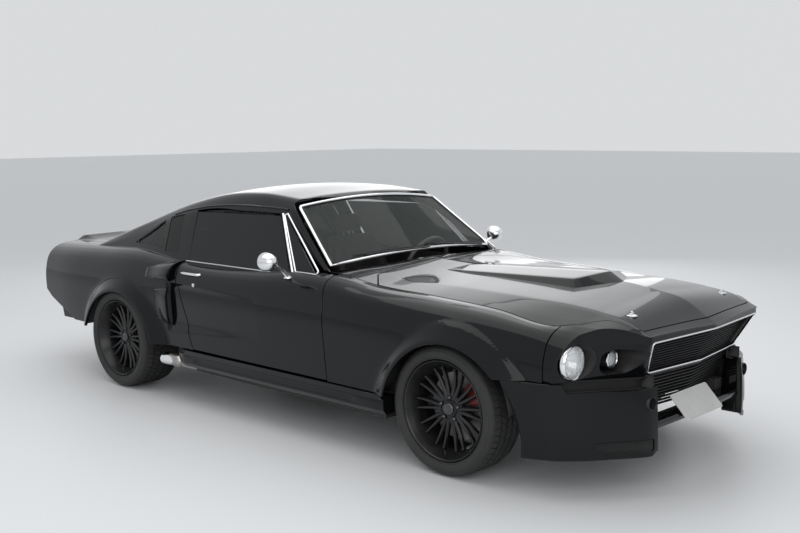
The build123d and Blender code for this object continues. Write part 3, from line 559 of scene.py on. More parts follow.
# Front wings: one pressing each, from the bonnet's gap over the flared arch down to the skirt.
# They are bolted on, so the real gap to the door shows.
DOOR_FRONT = np.array([(-785, 345), (-794, 560), (-801, 729), (-822, 812), (-842, 858)], float)
DOOR_REAR = np.array([(-1962, 345), (-1990, 428), (-2051, 584), (-2112, 740), (-2140, 820), (-2148, 852)],
                     float)
DOOR_TOP_S, GAP, NOSE_BACK, SEAM_Z, SILL_TOP = 738, 5, 560, 545, 345
SKIN_THICK = 12


def side_sheet(outline):
    """trimmed sheet on the right side, from an outline in x and distance round the section"""
    points, quads, tris = trimmed(outline)
    return points * (1, -1), quads, tris


def arch_line(arch, front_height, rear_height):
    """the arch's opening from one height at its front, over the wheel, to the other at its rear"""
    front, rear = (np.degrees(np.arcsin((height - arch[1]) / arch[2]))
                   for height in (front_height, rear_height))
    return arc(arch, arch[2], front, 180 - rear, 60)


wing_outline = np.concatenate([
    [(-840, GAP_S + GAP), (NOSE_BACK, GAP_S + GAP)],
    side_view([(NOSE_BACK, 700), (NOSE_BACK, 620), (NOSE_BACK, SEAM_Z)]),
    side_view(arch_line(FRONT_ARCH, SEAM_Z, SILL_TOP)),
    side_view(DOOR_FRONT + (GAP, 0)), [(-840, DOOR_TOP_S)]])
wing = shell("wing_right", side_sheet(wing_outline), skin, SKIN_THICK, paint, away_from_middle)
add_pair(wing, "body", "front_wings")

# Doors: an outer skin wrapped over a frame as deep as the door, closed at the back by the trim's plane.
# Each swings at its front edge.
DOOR_BACK = 735


def door_back(points, normal):
    """the front sheet's points, flattened onto the door's inner plane"""
    return xyz(points[:, 0], -DOOR_BACK, points[:, 2] - 6)


door_outline = np.concatenate([
    side_view(DOOR_FRONT[:1] + (0, 5)), side_view(DOOR_FRONT[1:]), [(-845, DOOR_TOP_S), (-2148, DOOR_TOP_S)],
    side_view(DOOR_REAR[:0:-1]), side_view([(-1964, 350)])])
door = shell("door_right_skin", side_sheet(door_outline), skin, door_back, paint, away_from_middle)
add_pair(door, "SIDE_door", "door_SIDE")

# Quarter panels: from the door's shut line over the rear wheel to the tail, welded to the deck and pillars,
# with the side scoop's upright edge ahead of the wheel.
quarter_outline = np.concatenate([
    side_view(DOOR_REAR - (7, 0)),
    [(-2155, 745), (-2900, 745), (-3120, 700), (-3230, 660), (-3291, 634), (TAIL + 2, 634)],
    side_view([(TAIL + 2, 780), (TAIL + 2, 660), (TAIL + 2, 540), (-3700, 490), (-3363, SILL_TOP + 20)]),
    side_view(arch_line(REAR_ARCH, SILL_TOP, SILL_TOP + 20)[::-1])])
quarter = shell("quarter_right", side_sheet(quarter_outline), skin, 16, paint, away_from_middle)
add_pair(quarter, "body", "quarter_panels")

# Bonnet: a pressing with a crease down the middle and a raised band, its front edge swept back at the
# corners. The two-part scoop is a separate moulding bonded on top.
BONNET = np.array([(-755, 0), (-745, 300), (-700, 560), (-565, 695)], float)
BONNET_FRONT = np.array([(540, 695), (632, 640), (720, 562), (835, 540), (872, 505), (915, 0)], float)
UP = (0, 0, 1)


def both_sides(half):
    """closed outline from the points of the left half, which starts and ends on the middle line"""
    half = np.asarray(half, float)
    other = half[::-1] * (1, -1)
    return np.concatenate([half, other[other[:, 1] < 0]])


bonnet_half = plan_view(np.concatenate([BONNET, BONNET_FRONT]))
bonnet_half[:, 1] = np.minimum(bonnet_half[:, 1], GAP_S)
bonnet = shell("bonnet_skin", trimmed(both_sides(bonnet_half)), skin, SKIN_THICK, paint, UP)
add_panel(bonnet, "bonnet", "bonnet")

SCOOP = {
    # each surface's corners: rear inner, rear outer, front outer, front inner
    "top": ((-520, 0, 903), (-520, 198, 893), (305, 205, 917), (382, 0, 941)),
    "side": ((-520, 198, 893), (-530, 216, 884), (352, 262, 862), (305, 205, 917)),
    "face": ((382, 0, 941), (305, 205, 917), (352, 262, 862), (478, 0, 886)),
}
SCOOP_SKIRT = (0, 0, -18)


def bilinear(corners, across, along):
    """grid over four corners, straight both ways"""
    a, b, c, d = (np.array(p, float) for p in corners)
    u = np.linspace(0, 1, across + 1)[:, None, None]
    v = np.linspace(0, 1, along + 1)[None, :, None]
    return (a * (1 - u) + b * u) * (1 - v) + (d * (1 - u) + c * u) * v


def grid_faces(rows, columns, first=0, closed=False):
    """quads of a grid of that many points, row by row; closed joins the last column to the first"""
    number = first + np.arange(rows * columns).reshape(rows, columns)
    if closed:
        number = np.concatenate([number, number[:, :1]], axis=1)
    return np.stack([number[:-1, :-1], number[1:, :-1], number[1:, 1:], number[:-1, 1:]], -1).reshape(-1, 4)


def tidy(piece, weld=0.05):
    """welds points closer than weld mm, drops faces without area and turns the rest outwards"""
    work = bmesh.new()
    work.from_mesh(piece.data)
    bmesh.ops.remove_doubles(work, verts=work.verts, dist=weld / 1000)
    bmesh.ops.dissolve_degenerate(work, edges=work.edges, dist=1e-6)
    bmesh.ops.delete(work, geom=[edge for edge in work.edges if not edge.link_faces], context="EDGES")
    bmesh.ops.recalc_face_normals(work, faces=work.faces)
    work.to_mesh(piece.data)
    work.free()
    return piece


def joined(name, grids, material, closed=(), weld=0.05, angle=35):
    """one mesh from several grids of points, welded where they meet; closed lists those that run round"""
    faces, count = [], 0
    for k, grid in enumerate(grids):
        faces.append(grid_faces(*grid.shape[:2], count, k in closed))
        count += grid.shape[0] * grid.shape[1]
    points = np.concatenate([grid.reshape(-1, 3) for grid in grids])
    return tidy(new_mesh(name, points, np.concatenate(faces).tolist(), material, angle), weld)


scoop_grids = []
for side in (1, -1):
    corners = {name: np.array(spots, float) * (1, side, 1) for name, spots in SCOOP.items()}
    scoop_grids += [bilinear(spots, 6, 24) for spots in corners.values()]
    rear_foot, front_foot, tip = corners["side"][1], corners["side"][2], corners["face"][3]
    for a, b in ((rear_foot, front_foot), (front_foot, tip)):
        scoop_grids.append(bilinear((a, b, b + SCOOP_SKIRT, a + SCOOP_SKIRT), 24, 1))
scoop = joined("bonnet_scoop", scoop_grids, paint)
rounding = scoop.modifiers.new("edges", "BEVEL")
rounding.width, rounding.segments = 0.004, 2
rounding.limit_method, rounding.angle_limit = "ANGLE", radians(30)
add_panel(scoop, "bonnet", "bonnet")

# Cowl: the fixed panel of pressed steel between the bonnet and the windscreen, welded to the firewall.
# height, x at the corner, x in the middle and half width of the windscreen's foot and head
SCREEN_BASE = (905, -908, -818, 709)
SCREEN_TOP = (1242, -1344, -1262, 592)
cowl_y = np.linspace(0, 700, 9)
cowl_rear = SCREEN_BASE[2] + (SCREEN_BASE[1] - SCREEN_BASE[2]) * (cowl_y / SCREEN_BASE[3]) ** 2 - 12
cowl_front = BONNET + [(-GAP, 0), (-GAP, 0), (-GAP, 2), (-GAP, 5)]
cowl_half = np.concatenate([np.stack([cowl_rear, cowl_y], 1), [(-572, 700)], cowl_front[::-1]])
cowl = shell("cowl_panel", trimmed(both_sides(plan_view(cowl_half)), (), 9.0), skin, SKIN_THICK, paint, UP)
add_panel(cowl, "body", "cowl")

# Roof: one large pressing with the windscreen pillars and the sail panels that run down to the deck.
# Side windows, louvres, quarter windows and the rear window are cut from it.
CABIN = np.array([
    # x, crown | roof edge y z | drip rail y z | belt y z
    (-3300, 914, 692, 878, 728, 866, 758, 828),
    (-2789, 1090, 630, 1056, 680, 990, 775, 836),
    (-2300, 1245, 580, 1208, 640, 1150, 785, 836),
    (-2000, 1302, 555, 1268, 622, 1200, 785, 836),
    (-1700, 1318, 550, 1285, 622, 1205, 782, 838),
    (-1344, 1290, 545, 1262, 612, 1200, 768, 842),
    (-700, 1275, 520, 1240, 575, 1195, 722, 850)], float)
CABIN_KNOTS = np.array([0, 550, 640, 1010], float)
CABIN_EASE = 34


def cabin(x, s):
    """point of the roof's form at x, s mm round the section from the crown; s is negative on the right"""
    x, s = np.asarray(x, float), np.asarray(s, float)
    row = smooth(x, CABIN[:, 0], CABIN[:, 1:])
    a = np.abs(s)
    start = np.stack([0 * row[..., 0], row[..., 0]], -1)
    pts = np.stack([start, row[..., 1:3], row[..., 3:5], row[..., 5:7]], -2)
    yz = rounded(a, CABIN_KNOTS, pts, np.minimum(CABIN_EASE, a))
    share = np.clip(a / CABIN_KNOTS[1], 0, 1)
    z = yz[..., 1] + (row[..., 0] - row[..., 2]) * share * (1 - share)
    return np.stack([x, np.where(s < 0, -yz[..., 0], yz[..., 0]), z], axis=-1)


def screen_height(x, y):
    """height of the windscreen's cone over a point in plan"""
    bend = (np.asarray(y) / SCREEN_BASE[3]) ** 2
    foot = SCREEN_BASE[2] + (SCREEN_BASE[1] - SCREEN_BASE[2]) * bend
    rake = (SCREEN_TOP[2] - SCREEN_BASE[2]) / (SCREEN_TOP[0] - SCREEN_BASE[0])
    return SCREEN_BASE[0] + (x - foot) / rake


def roof_form(x, s):
    """the cabin's form, brought down ahead of the windscreen's opening onto the screen's own slope"""
    points = cabin(x, s)
    glass = screen_height(points[..., 0], points[..., 1]) + 2
    z = points[..., 2]
    points[..., 2] = (z + glass - np.hypot(z - glass, 9)) / 2
    return points


def cabin_side(points):
    """outline given as x and height on the cabin's side, as x and distance round its section"""
    points = np.asarray(points, float)
    s = np.linspace(0, CABIN_KNOTS[-1], 300)
    heights = cabin(points[:, :1] + 0 * s, s[None, :] + 0 * points[:, :1])[..., 2]
    i = np.clip((heights > points[:, 1:]).sum(axis=1), 1, len(s) - 1)
    row = np.arange(len(points))
    share = (heights[row, i - 1] - points[:, 1]) / np.maximum(heights[row, i - 1] - heights[row, i], 1e-9)
    return np.stack([points[:, 0], s[i - 1] + (s[i] - s[i - 1]) * share], axis=1)


def cabin_top(points):
    """outline given as x and y on the roof, as x and distance round its section"""
    points = np.asarray(points, float)
    s = np.linspace(0, CABIN_KNOTS[-1], 300)
    widths = cabin(points[:, :1] + 0 * s, s[None, :] + 0 * points[:, :1])[..., 1]
    found = [np.interp(abs(y), w, s) * np.sign(y) for w, y in zip(widths, points[:, 1])]
    return np.stack([points[:, 0], found], axis=1)


REAR_GLASS = np.array([(-2345, 0), (-2358, 300), (-2375, 545), (-3140, 600), (-3158, 300), (-3165, 0)], float)
QUARTER_LIGHT = np.array([(-2440, 925), (-2800, 930), (-2520, 1092)], float)
LOUVRE_SPACE = np.array([(-2250, 905), (-2405, 905), (-2470, 1110), (-2320, 1135)], float)
header = np.array([(-1286, 0), (-1291, 150), (-1306, 300), (-1326, 420), (-1348, 530)], float)
roof_half = np.concatenate([
    cabin_top(header),
    cabin_side([(-1356, 1236), (-1140, 1070), (-925, 903), (-962, 903), (-1392, 1182), (-1800, 1184),
                (-2200, 1166),
                (-2128, 872), (-2140, 850)]),
    cabin_side([(-2500, 852), (-2800, 858), (-3100, 862), (-3200, 862)]), [(-3286, 740), (-3288, 0)]])
side_holes = [cabin_side(QUARTER_LIGHT), cabin_side(LOUVRE_SPACE)]
roof_holes = [both_sides(cabin_top(REAR_GLASS))] + side_holes + [hole * (1, -1) for hole in side_holes]
roof = shell("roof_panel", trimmed(both_sides(roof_half), roof_holes, 13.0), roof_form, 22, paint,
             away_from_middle)
add_panel(roof, "body", "roof")

# Boot lid, with the upturned tail lip, and the fixed deck round it. Both are pressed steel, and the lid
# swings on hinges at its front edge.
BOOT = np.array([(-3296, 0), (-3296, 560), (-3340, 610), (-3735, 625), (-3735, 0)], float)
BOOT_HOLE = np.array([(-3291, 0), (-3291, 563), (-3337, 614), (-3739, 629), (-3739, 0)], float)
DECK = np.array([(-3262, 0), (-3262, 640), (TAIL + 2, 640), (TAIL + 2, 0)], float)


def deck_surface(x, s):
    """the skin, raised into the tail lip between its ends"""
    points = skin(x, s)
    across = ramp((585 - np.abs(points[..., 1])) / 70)
    points[..., 2] += 26 * np.clip((-3570 - x) / 165, 0, 1) ** 1.6 * across
    return points


boot_sheet = trimmed(both_sides(plan_view(BOOT)), (), 10.0)
deck_sheet = trimmed(both_sides(plan_view(DECK)), [both_sides(plan_view(BOOT_HOLE))], 9.0)
add_panel(shell("boot_skin", boot_sheet, deck_surface, SKIN_THICK, paint, UP), "boot_lid", "boot_lid")
add_panel(shell("deck_panel", deck_sheet, deck_surface, SKIN_THICK, paint, UP), "body", "tail_panel")

# Nose: the header from the bonnet's front edge over a sharp lip to the face, which leans in towards the
# bumper line. One moulding of painted glass fibre, with a deep mouth and two bays a side for the lamps.
NOSE_TOP = np.array([(960, 0), (918, 525), (858, 550), (735, 640), (672, 700), (640, 790), (596, 850)], float)
NOSE_LOW = np.array([(884, 0), (836, 432), (806, 470), (708, 612), (655, 700), (628, 775), (584, 850)], float)
NOSE_FOOT, NOSE_LIP = 548, 720


def run_length(line):
    """distance along a line of points to each of them"""
    return np.concatenate([[0], np.cumsum(np.linalg.norm(np.diff(line, axis=0), axis=1))])


def eased(u, knots, line, width):
    """point at u on a line through the knots, with its corners eased by a mean over that width to each side"""
    total = 0
    for shift in (-1, -0.5, 0, 0.5, 1):
        at = u + shift * width
        total = total + np.stack([np.interp(at, knots, line[:, k]) for k in (0, 1)], -1) / 5
    return total


NOSE_U = run_length(NOSE_TOP)


def face_share(z):
    return np.clip((z - NOSE_FOOT) / (NOSE_LIP - NOSE_FOOT), 0, 1)


def face_form(u, z):
    """point of the face at height z, u mm round its upper edge from the middle; u is negative on the right"""
    a = np.abs(u)
    width = 12 * (a >= 20)
    low, top = eased(a, NOSE_U, NOSE_LOW, width), eased(a, NOSE_U, NOSE_TOP, width)
    point = low + (top - low) * face_share(z)[..., None]
    return xyz(point[..., 0], np.where(u < 0, -point[..., 1], point[..., 1]), z)


def face_place(y, z):
    """x of the face at that width and height, and its distance round the upper edge"""
    line = NOSE_LOW + (NOSE_TOP - NOSE_LOW) * face_share(z)
    return np.interp(abs(y), line[:, 1], line[:, 0]), np.interp(abs(y), line[:, 1], NOSE_U) * np.sign(y)


def on_face(points):
    """outline given as y and z in front view, as distance round the face and z"""
    return np.array([(face_place(y, z)[1], z) for y, z in points])


def before_face(points, proud):
    """outline given as y and z in front view, as places on the face moved forward by proud"""
    return np.array([(face_place(y, z)[0] + proud, y, z) for y, z in points])


lip_xs, lip_uz, lip_line = [], [], []
for s in np.linspace(0, 1090, 110):
    x = 900.0
    for _ in range(40):
        _, y, z = skin(np.array([x]), np.array([s]))[0]
        x += (face_place(y, z)[0] - x) * 0.6
    if z < NOSE_FOOT:
        break
    lip_xs.append((x, s))
    lip_uz.append((face_place(y, z)[1], z))
    lip_line.append((x, y, z))
lip_xs, lip_uz, lip_line = np.array(lip_xs), np.array(lip_uz), np.array(lip_line)

nose_half = np.concatenate([
    plan_view(BONNET_FRONT[::-1] + (GAP, 0)), [(NOSE_BACK + GAP, 706)],
    [(NOSE_BACK + GAP, s) for s in (800, 900, 1000, lip_xs[-1, 1])], lip_xs[::-1]])
nose_half[0, 1] = 0
header = shell("nose_header", trimmed(both_sides(nose_half), (), 6.0), skin, 10, paint, away_from_middle, 0.4)
add_panel(header, "body", "nose")

MOUTH_RADIUS, LAMP_Y, LAMP_Z, LAMP_HOLE_R = 34, 715, 632, 84


def corner_arc(a, b, c, radius, steps=9):
    """points that round the corner b between a and c"""
    a, b, c = (np.asarray(p, float) for p in (a, b, c))
    p, q = (a - b) / np.linalg.norm(a - b), (c - b) / np.linalg.norm(c - b)
    half = np.arccos(np.clip(p @ q, -1, 1)) / 2
    start, end = b + p * radius / np.tan(half), b + q * radius / np.tan(half)
    middle = b + (p + q) / np.linalg.norm(p + q) * radius / np.sin(half)
    spread = start + (end - start) * np.linspace(0, 1, steps)[:, None] - middle
    return middle + spread / np.linalg.norm(spread, axis=1)[:, None] * radius


def rounded_loop(points, radii):
    """closed outline with every corner rounded by its radius"""
    n = len(points)
    radii = np.broadcast_to(radii, n)
    return np.concatenate([corner_arc(points[i - 1], points[i], points[(i + 1) % n], radii[i])
                           for i in range(n)])


mouth = rounded_loop([(-506, 722), (506, 722), (426, 563), (-426, 563)], (9, 9, MOUTH_RADIUS, MOUTH_RADIUS))
lamp_hole = arc((LAMP_Y, LAMP_Z), LAMP_HOLE_R, 0, 355, 72)
bay_hole = rounded_loop([(480, 690), (480, 574), (612, 566), (628, 694)], (44, 50, 44, 44))
face_half = np.concatenate([[(u, NOSE_FOOT) for u in np.linspace(0, lip_uz[-1, 0], 12)], lip_uz[::-1]])
face_holes = [on_face(dense(mouth, 12))]
face_holes += [on_face(hole * (side, 1)) for side, _ in SIDES for hole in (lamp_hole, bay_hole)]
face_sheet = trimmed(both_sides(face_half[:, ::-1])[:, ::-1], face_holes, 8.0)
add_panel(shell("nose_face", face_sheet, face_form, 10, paint, lambda p: p - (300, 0, 600), 0.4), "body",
          "nose")


def tube(path, radius, sides=12, closed=False, flatten=1.0):
    """grid of a round bar along a path; an open one is drawn to a point at each end"""
    path = np.asarray(path, float)
    if closed:
        ahead = np.roll(path, -1, axis=0) - np.roll(path, 1, axis=0)
    else:
        ahead = np.gradient(path, axis=0)
    ahead /= np.linalg.norm(ahead, axis=1)[:, None]
    up = np.tile((0.0, 0.0, 1.0), (len(path), 1))
    steep = np.abs(ahead[:, 2]) > 0.95
    up[steep] = (1, 0, 0)
    if steep.any() and not steep.all():
        up[:] = (1, 0.02, 0.1)
    side = np.cross(ahead, up)
    side /= np.linalg.norm(side, axis=1)[:, None]
    up = np.cross(side, ahead)
    angle = np.arange(sides) * 2 * pi / sides
    radius = np.broadcast_to(radius, len(path))[:, None, None]
    ring = side[:, None] * np.cos(angle)[:, None] * flatten + up[:, None] * np.sin(angle)[:, None]
    grid = path[:, None] + ring * radius
    if closed:
        return np.concatenate([grid, grid[:1]])
    return np.concatenate([path[:1, None] + 0 * grid[:1], grid, path[-1:, None] + 0 * grid[-1:]])


def bar(name, path, radius, material, sides=12, closed=False, flatten=1.0):
    return joined(name, [tube(path, radius, sides, closed, flatten)], material, closed=(0,), angle=40)


bead = np.concatenate([lip_line[::-1] * (1, -1, 1), lip_line[1:]])
add_panel(bar("nose_lip", bead + (-1.4, 0, -1.4), 3.6, paint, 14), "body", "nose")


def varied(name, dark, light, roughness, metallic=0.0, scale=9.0, grain=0.0, grain_scale=400.0, **more):
    """finish whose colour and gloss drift softly between two values, with a fine grain if asked for"""
    finish = plain_material(name, dark, roughness[0], metallic, **more)
    place = finish.node("ShaderNodeTexCoord").out("Object")
    cloud = finish.node("ShaderNodeTexNoise", {}, {"Vector": place, "Scale": scale, "Detail": 5.0})
    stops = [(0.3, (*dark, 1)), (0.7, (*light, 1))]
    colour = finish.node("ShaderNodeValToRGB", {"stops": stops}, {"Fac": cloud})
    finish.put(finish.shader.inputs["Base Color"], colour.out("Color"))
    finish.put(finish.shader.inputs["Roughness"], roughness[0] + cloud * (roughness[1] - roughness[0]))
    if grain:
        fine = finish.node("ShaderNodeTexNoise", {}, {"Vector": place, "Scale": grain_scale, "Detail": 3.0})
        bump = finish.node("ShaderNodeBump", {}, {"Strength": grain, "Distance": 0.001, "Height": fine})
        finish.put(finish.shader.inputs["Normal"], bump)
    return finish.owner


satin = varied("satin_black", (0.012, 0.012, 0.013), (0.022, 0.022, 0.023), (0.36, 0.52), grain=0.15)
# Extra-dark satin, darker than the satin black, for the liners, cups, plates and sheets inside openings: partly
# their own dark finish, and partly painted shade for the hollows they close or line.
liner_shade_black = varied("bay_black", (0.006, 0.006, 0.006), (0.011, 0.011, 0.012), (0.5, 0.75), slot="satin_black")
chrome = varied("chrome", (0.78, 0.79, 0.80), (0.90, 0.91, 0.92), (0.04, 0.14), 1.0, scale=6.0)


def walled(piece, thickness):
    """gives a sheet a wall of that thickness in mm, half to each side of it"""
    wall = piece.modifiers.new("wall", "SOLIDIFY")
    wall.thickness, wall.offset = thickness / 1000, 0
    return piece


def cup(name, rim, x_back, shrink):
    """tub of extra-dark sheet, partly painted shade, that runs back along x from a rim on the face, and narrows
    to a share of its size
    """
    middle = rim.mean(axis=0)
    rows = [rim]
    for share in (1 / 3, 2 / 3, 1):
        across = middle + (rim - middle) * (1 - (1 - shrink) * share)
        rows.append(xyz(rim[:, 0] + (x_back - rim[:, 0]) * share, across[:, 1], across[:, 2]))
    centre = rows[-1].mean(axis=0)
    rows += [centre + (rows[-1] - centre) * 0.5, centre + 0 * rim]
    piece = joined(name, [np.stack(rows)], liner_shade_black, closed=(0,), angle=50)
    add_panel(walled(piece, 3), "body", "nose")


for side, label in SIDES:
    for hole, kind, back, shrink in ((lamp_hole, "headlamp", 562, 0.98), (bay_hole, "driving_lamp", 640, 0.9)):
        cup(f"{kind}_bay_{label}", before_face(dense(hole * (side, 1), 8), -2), back, shrink)
rim = before_face(dense(mouth, 10), -2)
mouth_wall = np.stack([rim, rim + (-30, 0, 0), rim * (1, 0.985, 1) + (-74, 0, 0)])
add_panel(walled(joined("grille_mouth", [mouth_wall], satin, closed=(0,), angle=50), 3), "body", "nose")

# Headlamps: a chromed ring and a domed, fluted glass over a bright reflector with its bulb, one a side.
# The ring is clamped over the glass by screws that don't show.
clear_lens = plain_material("lamp_glass", (0.92, 0.95, 0.97), 0.03, Alpha=0.32, IOR=1.5, Coat_Weight=0.6)
lens_place = clear_lens.node("ShaderNodeTexCoord").out("Object")
flutes = clear_lens.node("ShaderNodeTexWave", {"bands_direction": "Y"}, {"Vector": lens_place, "Scale": 26.0})
lens_bump = clear_lens.node("ShaderNodeBump", {}, {"Strength": 0.35, "Distance": 0.001, "Height": flutes})
clear_lens.put(clear_lens.shader.inputs["Normal"], lens_bump)
clear_lens.put(clear_lens.shader.inputs["Alpha"], 0.26 + flutes * 0.14)
lamp_glass = clear_lens.owner
mirror_bowl = varied("reflector", (0.80, 0.81, 0.82), (0.93, 0.93, 0.92), (0.08, 0.2), 1.0, scale=14.0,
                     slot="chrome")
TURN_STEPS = 64


def lathe(profile, centre, axis="x", steps=TURN_STEPS):
    """grid turned about an axis along x, y or z through the centre, from (place along the axis, radius)"""
    profile = np.asarray(profile, float)
    angle = np.arange(steps) * 2 * pi / steps
    along, around = np.repeat(profile[:, :1], steps, 1), profile[:, 1:] * np.cos(angle)
    other = profile[:, 1:] * np.sin(angle)
    order = {"x": (along, around, other), "y": (around, along, other), "z": (around, other, along)}[axis]
    return np.stack(order, axis=-1) + np.asarray(centre, float)


def turned(name, profile, centre, material, axis="x", steps=TURN_STEPS, angle=35):
    """closed solid turned from a profile that starts and ends on the axis, or that closes on itself"""
    return joined(name, [lathe(profile, centre, axis, steps)], material, closed=(0,), angle=angle)


def dome(x_edge, x_peak, radius, steps):
    """profile of a shallow cap from the edge to its peak"""
    return [(x_edge + (x_peak - x_edge) * cos(t), radius * sin(t)) for t in np.linspace(pi / 2, 0, steps)]


def thick_shell(front, thickness):
    """profile of a sheet and of its back, as one closed profile"""
    front = np.asarray(front, float)
    return np.concatenate([front, front[::-1] - (thickness, 0), front[:1]])


headlamp_bowl = [(642 - 62 * (1 - (r / 71) ** 2), r) for r in (71, 60, 48, 36, 24, 14, 0)]
LAMP_PARTS = (
    # lamp, part, its profile as x and radius, finish, steps
    ("headlamp", "ring", [(626, 83), (640, 83.5), (652, 81), (657, 77), (656, 73), (650, 71), (640, 71),
                          (626, 74),
                          (626, 83)], chrome, TURN_STEPS),
    ("headlamp", "glass", thick_shell(dome(644, 668, 72, 10), 4), lamp_glass, TURN_STEPS),
    ("headlamp", "reflector", thick_shell(headlamp_bowl, 3), mirror_bowl, TURN_STEPS),
    ("headlamp", "bulb", [(582, 0), (582, 9), (606, 9), (612, 6), (614, 0)], lamp_glass, 24),
    ("driving_lamp", "can", [(650, 0), (650, 38), (724, 41), (736, 41), (736, 36), (722, 33), (712, 0)], satin,
     TURN_STEPS),
    ("driving_lamp", "ring", [(728, 42), (736, 44.5), (742, 43), (744, 40), (741, 37), (732, 36.5), (728, 42)],
     chrome, TURN_STEPS),
    ("driving_lamp", "glass", thick_shell(dome(730, 750, 35, 8), 4), lamp_glass, TURN_STEPS),
)
LAMP_CENTRE = {"headlamp": (LAMP_Y, LAMP_Z), "driving_lamp": (547, 634)}
for side, label in SIDES:
    for lamp, part, profile, finish, steps in LAMP_PARTS:
        y, z = LAMP_CENTRE[lamp]
        piece = turned(f"{lamp}_{part}_{label}", profile, (0, side * y, z), finish, steps=steps)
        add_panel(piece, "body", f"{lamp}s")

# Grilles: fine horizontal bars of satin black, bent at the middle to the nose's shape, with a thin bright
# strip round the upper mouth. Bars are pinned to three upright posts.
# x in the middle, x at the corner and half width at the datum, then the growth of each per mm of height
UPPER_GRILLE = (868, 818, 419, 75 / 183, 83 / 183, 76 / 162)
LOWER_GRILLE = (787, 741, 400, 0.42, 0.42, 0)
GRILLES = (("upper", UPPER_GRILLE, np.linspace(570, 716, 12), 562),
           ("lower", LOWER_GRILLE, np.linspace(362, 538, 11), 335))


def bar_path(shape, z, datum):
    """middle line of the grille's bar at height z: two straight runs that meet in a blunt bend"""
    middle, corner, half = (shape[i] + shape[i + 3] * (z - datum) for i in range(3))
    y = np.array([-half, -half * 0.5, -14, 0, 14, half * 0.5, half])
    x = middle + (corner - middle) * np.abs(y) / half
    x[3] -= 1.5
    return xyz(x - 12, y, z)


def capped(grid):
    """the grid with its ends closed by a row drawn to the middle of each"""
    ends = [grid[[k]].mean(axis=1, keepdims=True) + 0 * grid[:1] for k in (0, -1)]
    return np.concatenate([ends[0], grid, ends[1]])


def slat_grid(path, chord, thick):
    """grid of a flat bar with a rounded nose along a path across the car"""
    angle = np.linspace(0, 2 * pi, 13)[:-1]
    x = np.sign(np.cos(angle)) * np.abs(np.cos(angle)) ** 0.6 * chord / 2
    return capped(path[:, None, :] + xyz(x, 0, np.sin(angle) * thick / 2))


for label, shape, heights, datum in GRILLES:
    grids = [slat_grid(bar_path(shape, z, datum), 22, 6.4) for z in heights]
    add_panel(joined(f"grille_{label}", grids, satin, closed=range(len(grids)), angle=60), "body", "grilles")
    for y in (-300, 0, 300):
        paths = [bar_path(shape, z, datum) for z in (heights[0] - 6, heights[-1] + 6)]
        ends = [(np.interp(y, path[:, 1], path[:, 0]) - 12, y, path[0, 2]) for path in paths]
        post = bar(f"grille_post_{label}_{y + 300}", [ends[0], np.mean(ends, axis=0), ends[1]], 4.5, satin, 8)
        add_panel(post, "body", "grilles")
surround = before_face(dense(mouth, 14), 1)
add_panel(bar("grille_surround", surround, 4.2, chrome, 10, closed=True), "body", "grilles")

# Front valance: a deep moulding of glass fibre below the bumper line, with a round duct and a mesh insert a
# side, a wide lower mouth and a chin bar. It is screwed to the wings and the nose.
VALANCE_TOP = np.array([(895, 412), (884, 456), (868, 500), (716, 712), (662, 778), (560, 838), (400, 872),
                        (360, 874)], float)
VALANCE_LOW = np.array([(905, 412), (902, 442), (898, 470), (722, 690), (640, 772), (590, 805), (490, 846),
                        (440, 858)], float)
VALANCE_FOOT, VALANCE_HEAD, DUCT_A, DUCT_Z = 192, 505, 42, 437
VALANCE_A = run_length(VALANCE_TOP)


def valance_form(a, z, side=-1):
    """point of the valance, a mm round its top edge from the mouth, at height z; on the right unless told"""
    share = (z - VALANCE_FOOT) / (VALANCE_HEAD - VALANCE_FOOT)
    width = 40 * np.clip(a / 60, 0, 1)
    low, top = (eased(a, VALANCE_A, line, width) for line in (VALANCE_LOW, VALANCE_TOP))
    point = low + (top - low) * share[..., None]
    bulge = 9 * np.sin(np.clip(share, 0, 1) * pi) * 0.6
    return xyz(point[..., 0] + bulge, side * (point[..., 1] + bulge), z)


valance_rear = []
for z in np.linspace(SEAM_Z, VALANCE_FOOT, 30):
    reach = np.linspace(0, VALANCE_A[-1], 400)
    x = valance_form(reach, 0 * reach + z)[:, 0]
    valance_rear.append((np.interp(-(60 + np.sqrt(410 ** 2 - (z - 250) ** 2)), -x, reach), z))
cheek_start = np.interp(-655, -VALANCE_TOP[:, 0], VALANCE_A)
valance_outline = np.concatenate([
    [(0, 335), (0, VALANCE_HEAD), (cheek_start, VALANCE_HEAD), (cheek_start + 18, SEAM_Z - 3)],
    valance_rear, [(330, VALANCE_FOOT), (60, VALANCE_FOOT + 4), (0, 216)]])
duct = arc((DUCT_A, DUCT_Z), 31, 0, 350, 36)
mesh_hole = rounded_loop([(34, 276), (34, 218), (285, 214), (330, 242), (322, 272)], (10, 22, 14, 10, 10))
valance_sheet = trimmed(valance_outline, [duct, mesh_hole], 8.0)
valance = shell("valance_right", valance_sheet, valance_form, 16, paint, lambda p: p - (0, 0, 330), 2.5)
add_pair(valance, "body", "front_valance")
strands = []
for slope in (1, -1):
    for offset in np.arange(-300, 700, 11.0):
        z = np.linspace(206, 284, 60)
        line = np.stack([offset + slope * (z - 245), z], axis=1)
        line = line[near_loops(line, [mesh_hole])[2]]
        if len(line) > 8:
            line = line[[0, len(line) // 2, -1]]
            strands.append(tube(valance_form(line[:, 0], line[:, 1]) + (-9, 8, 0), 1.4, 5))
mesh = joined("valance_mesh_right", strands, satin, closed=range(len(strands)), weld=0.01)
add_pair(mesh, "body", "front_valance")
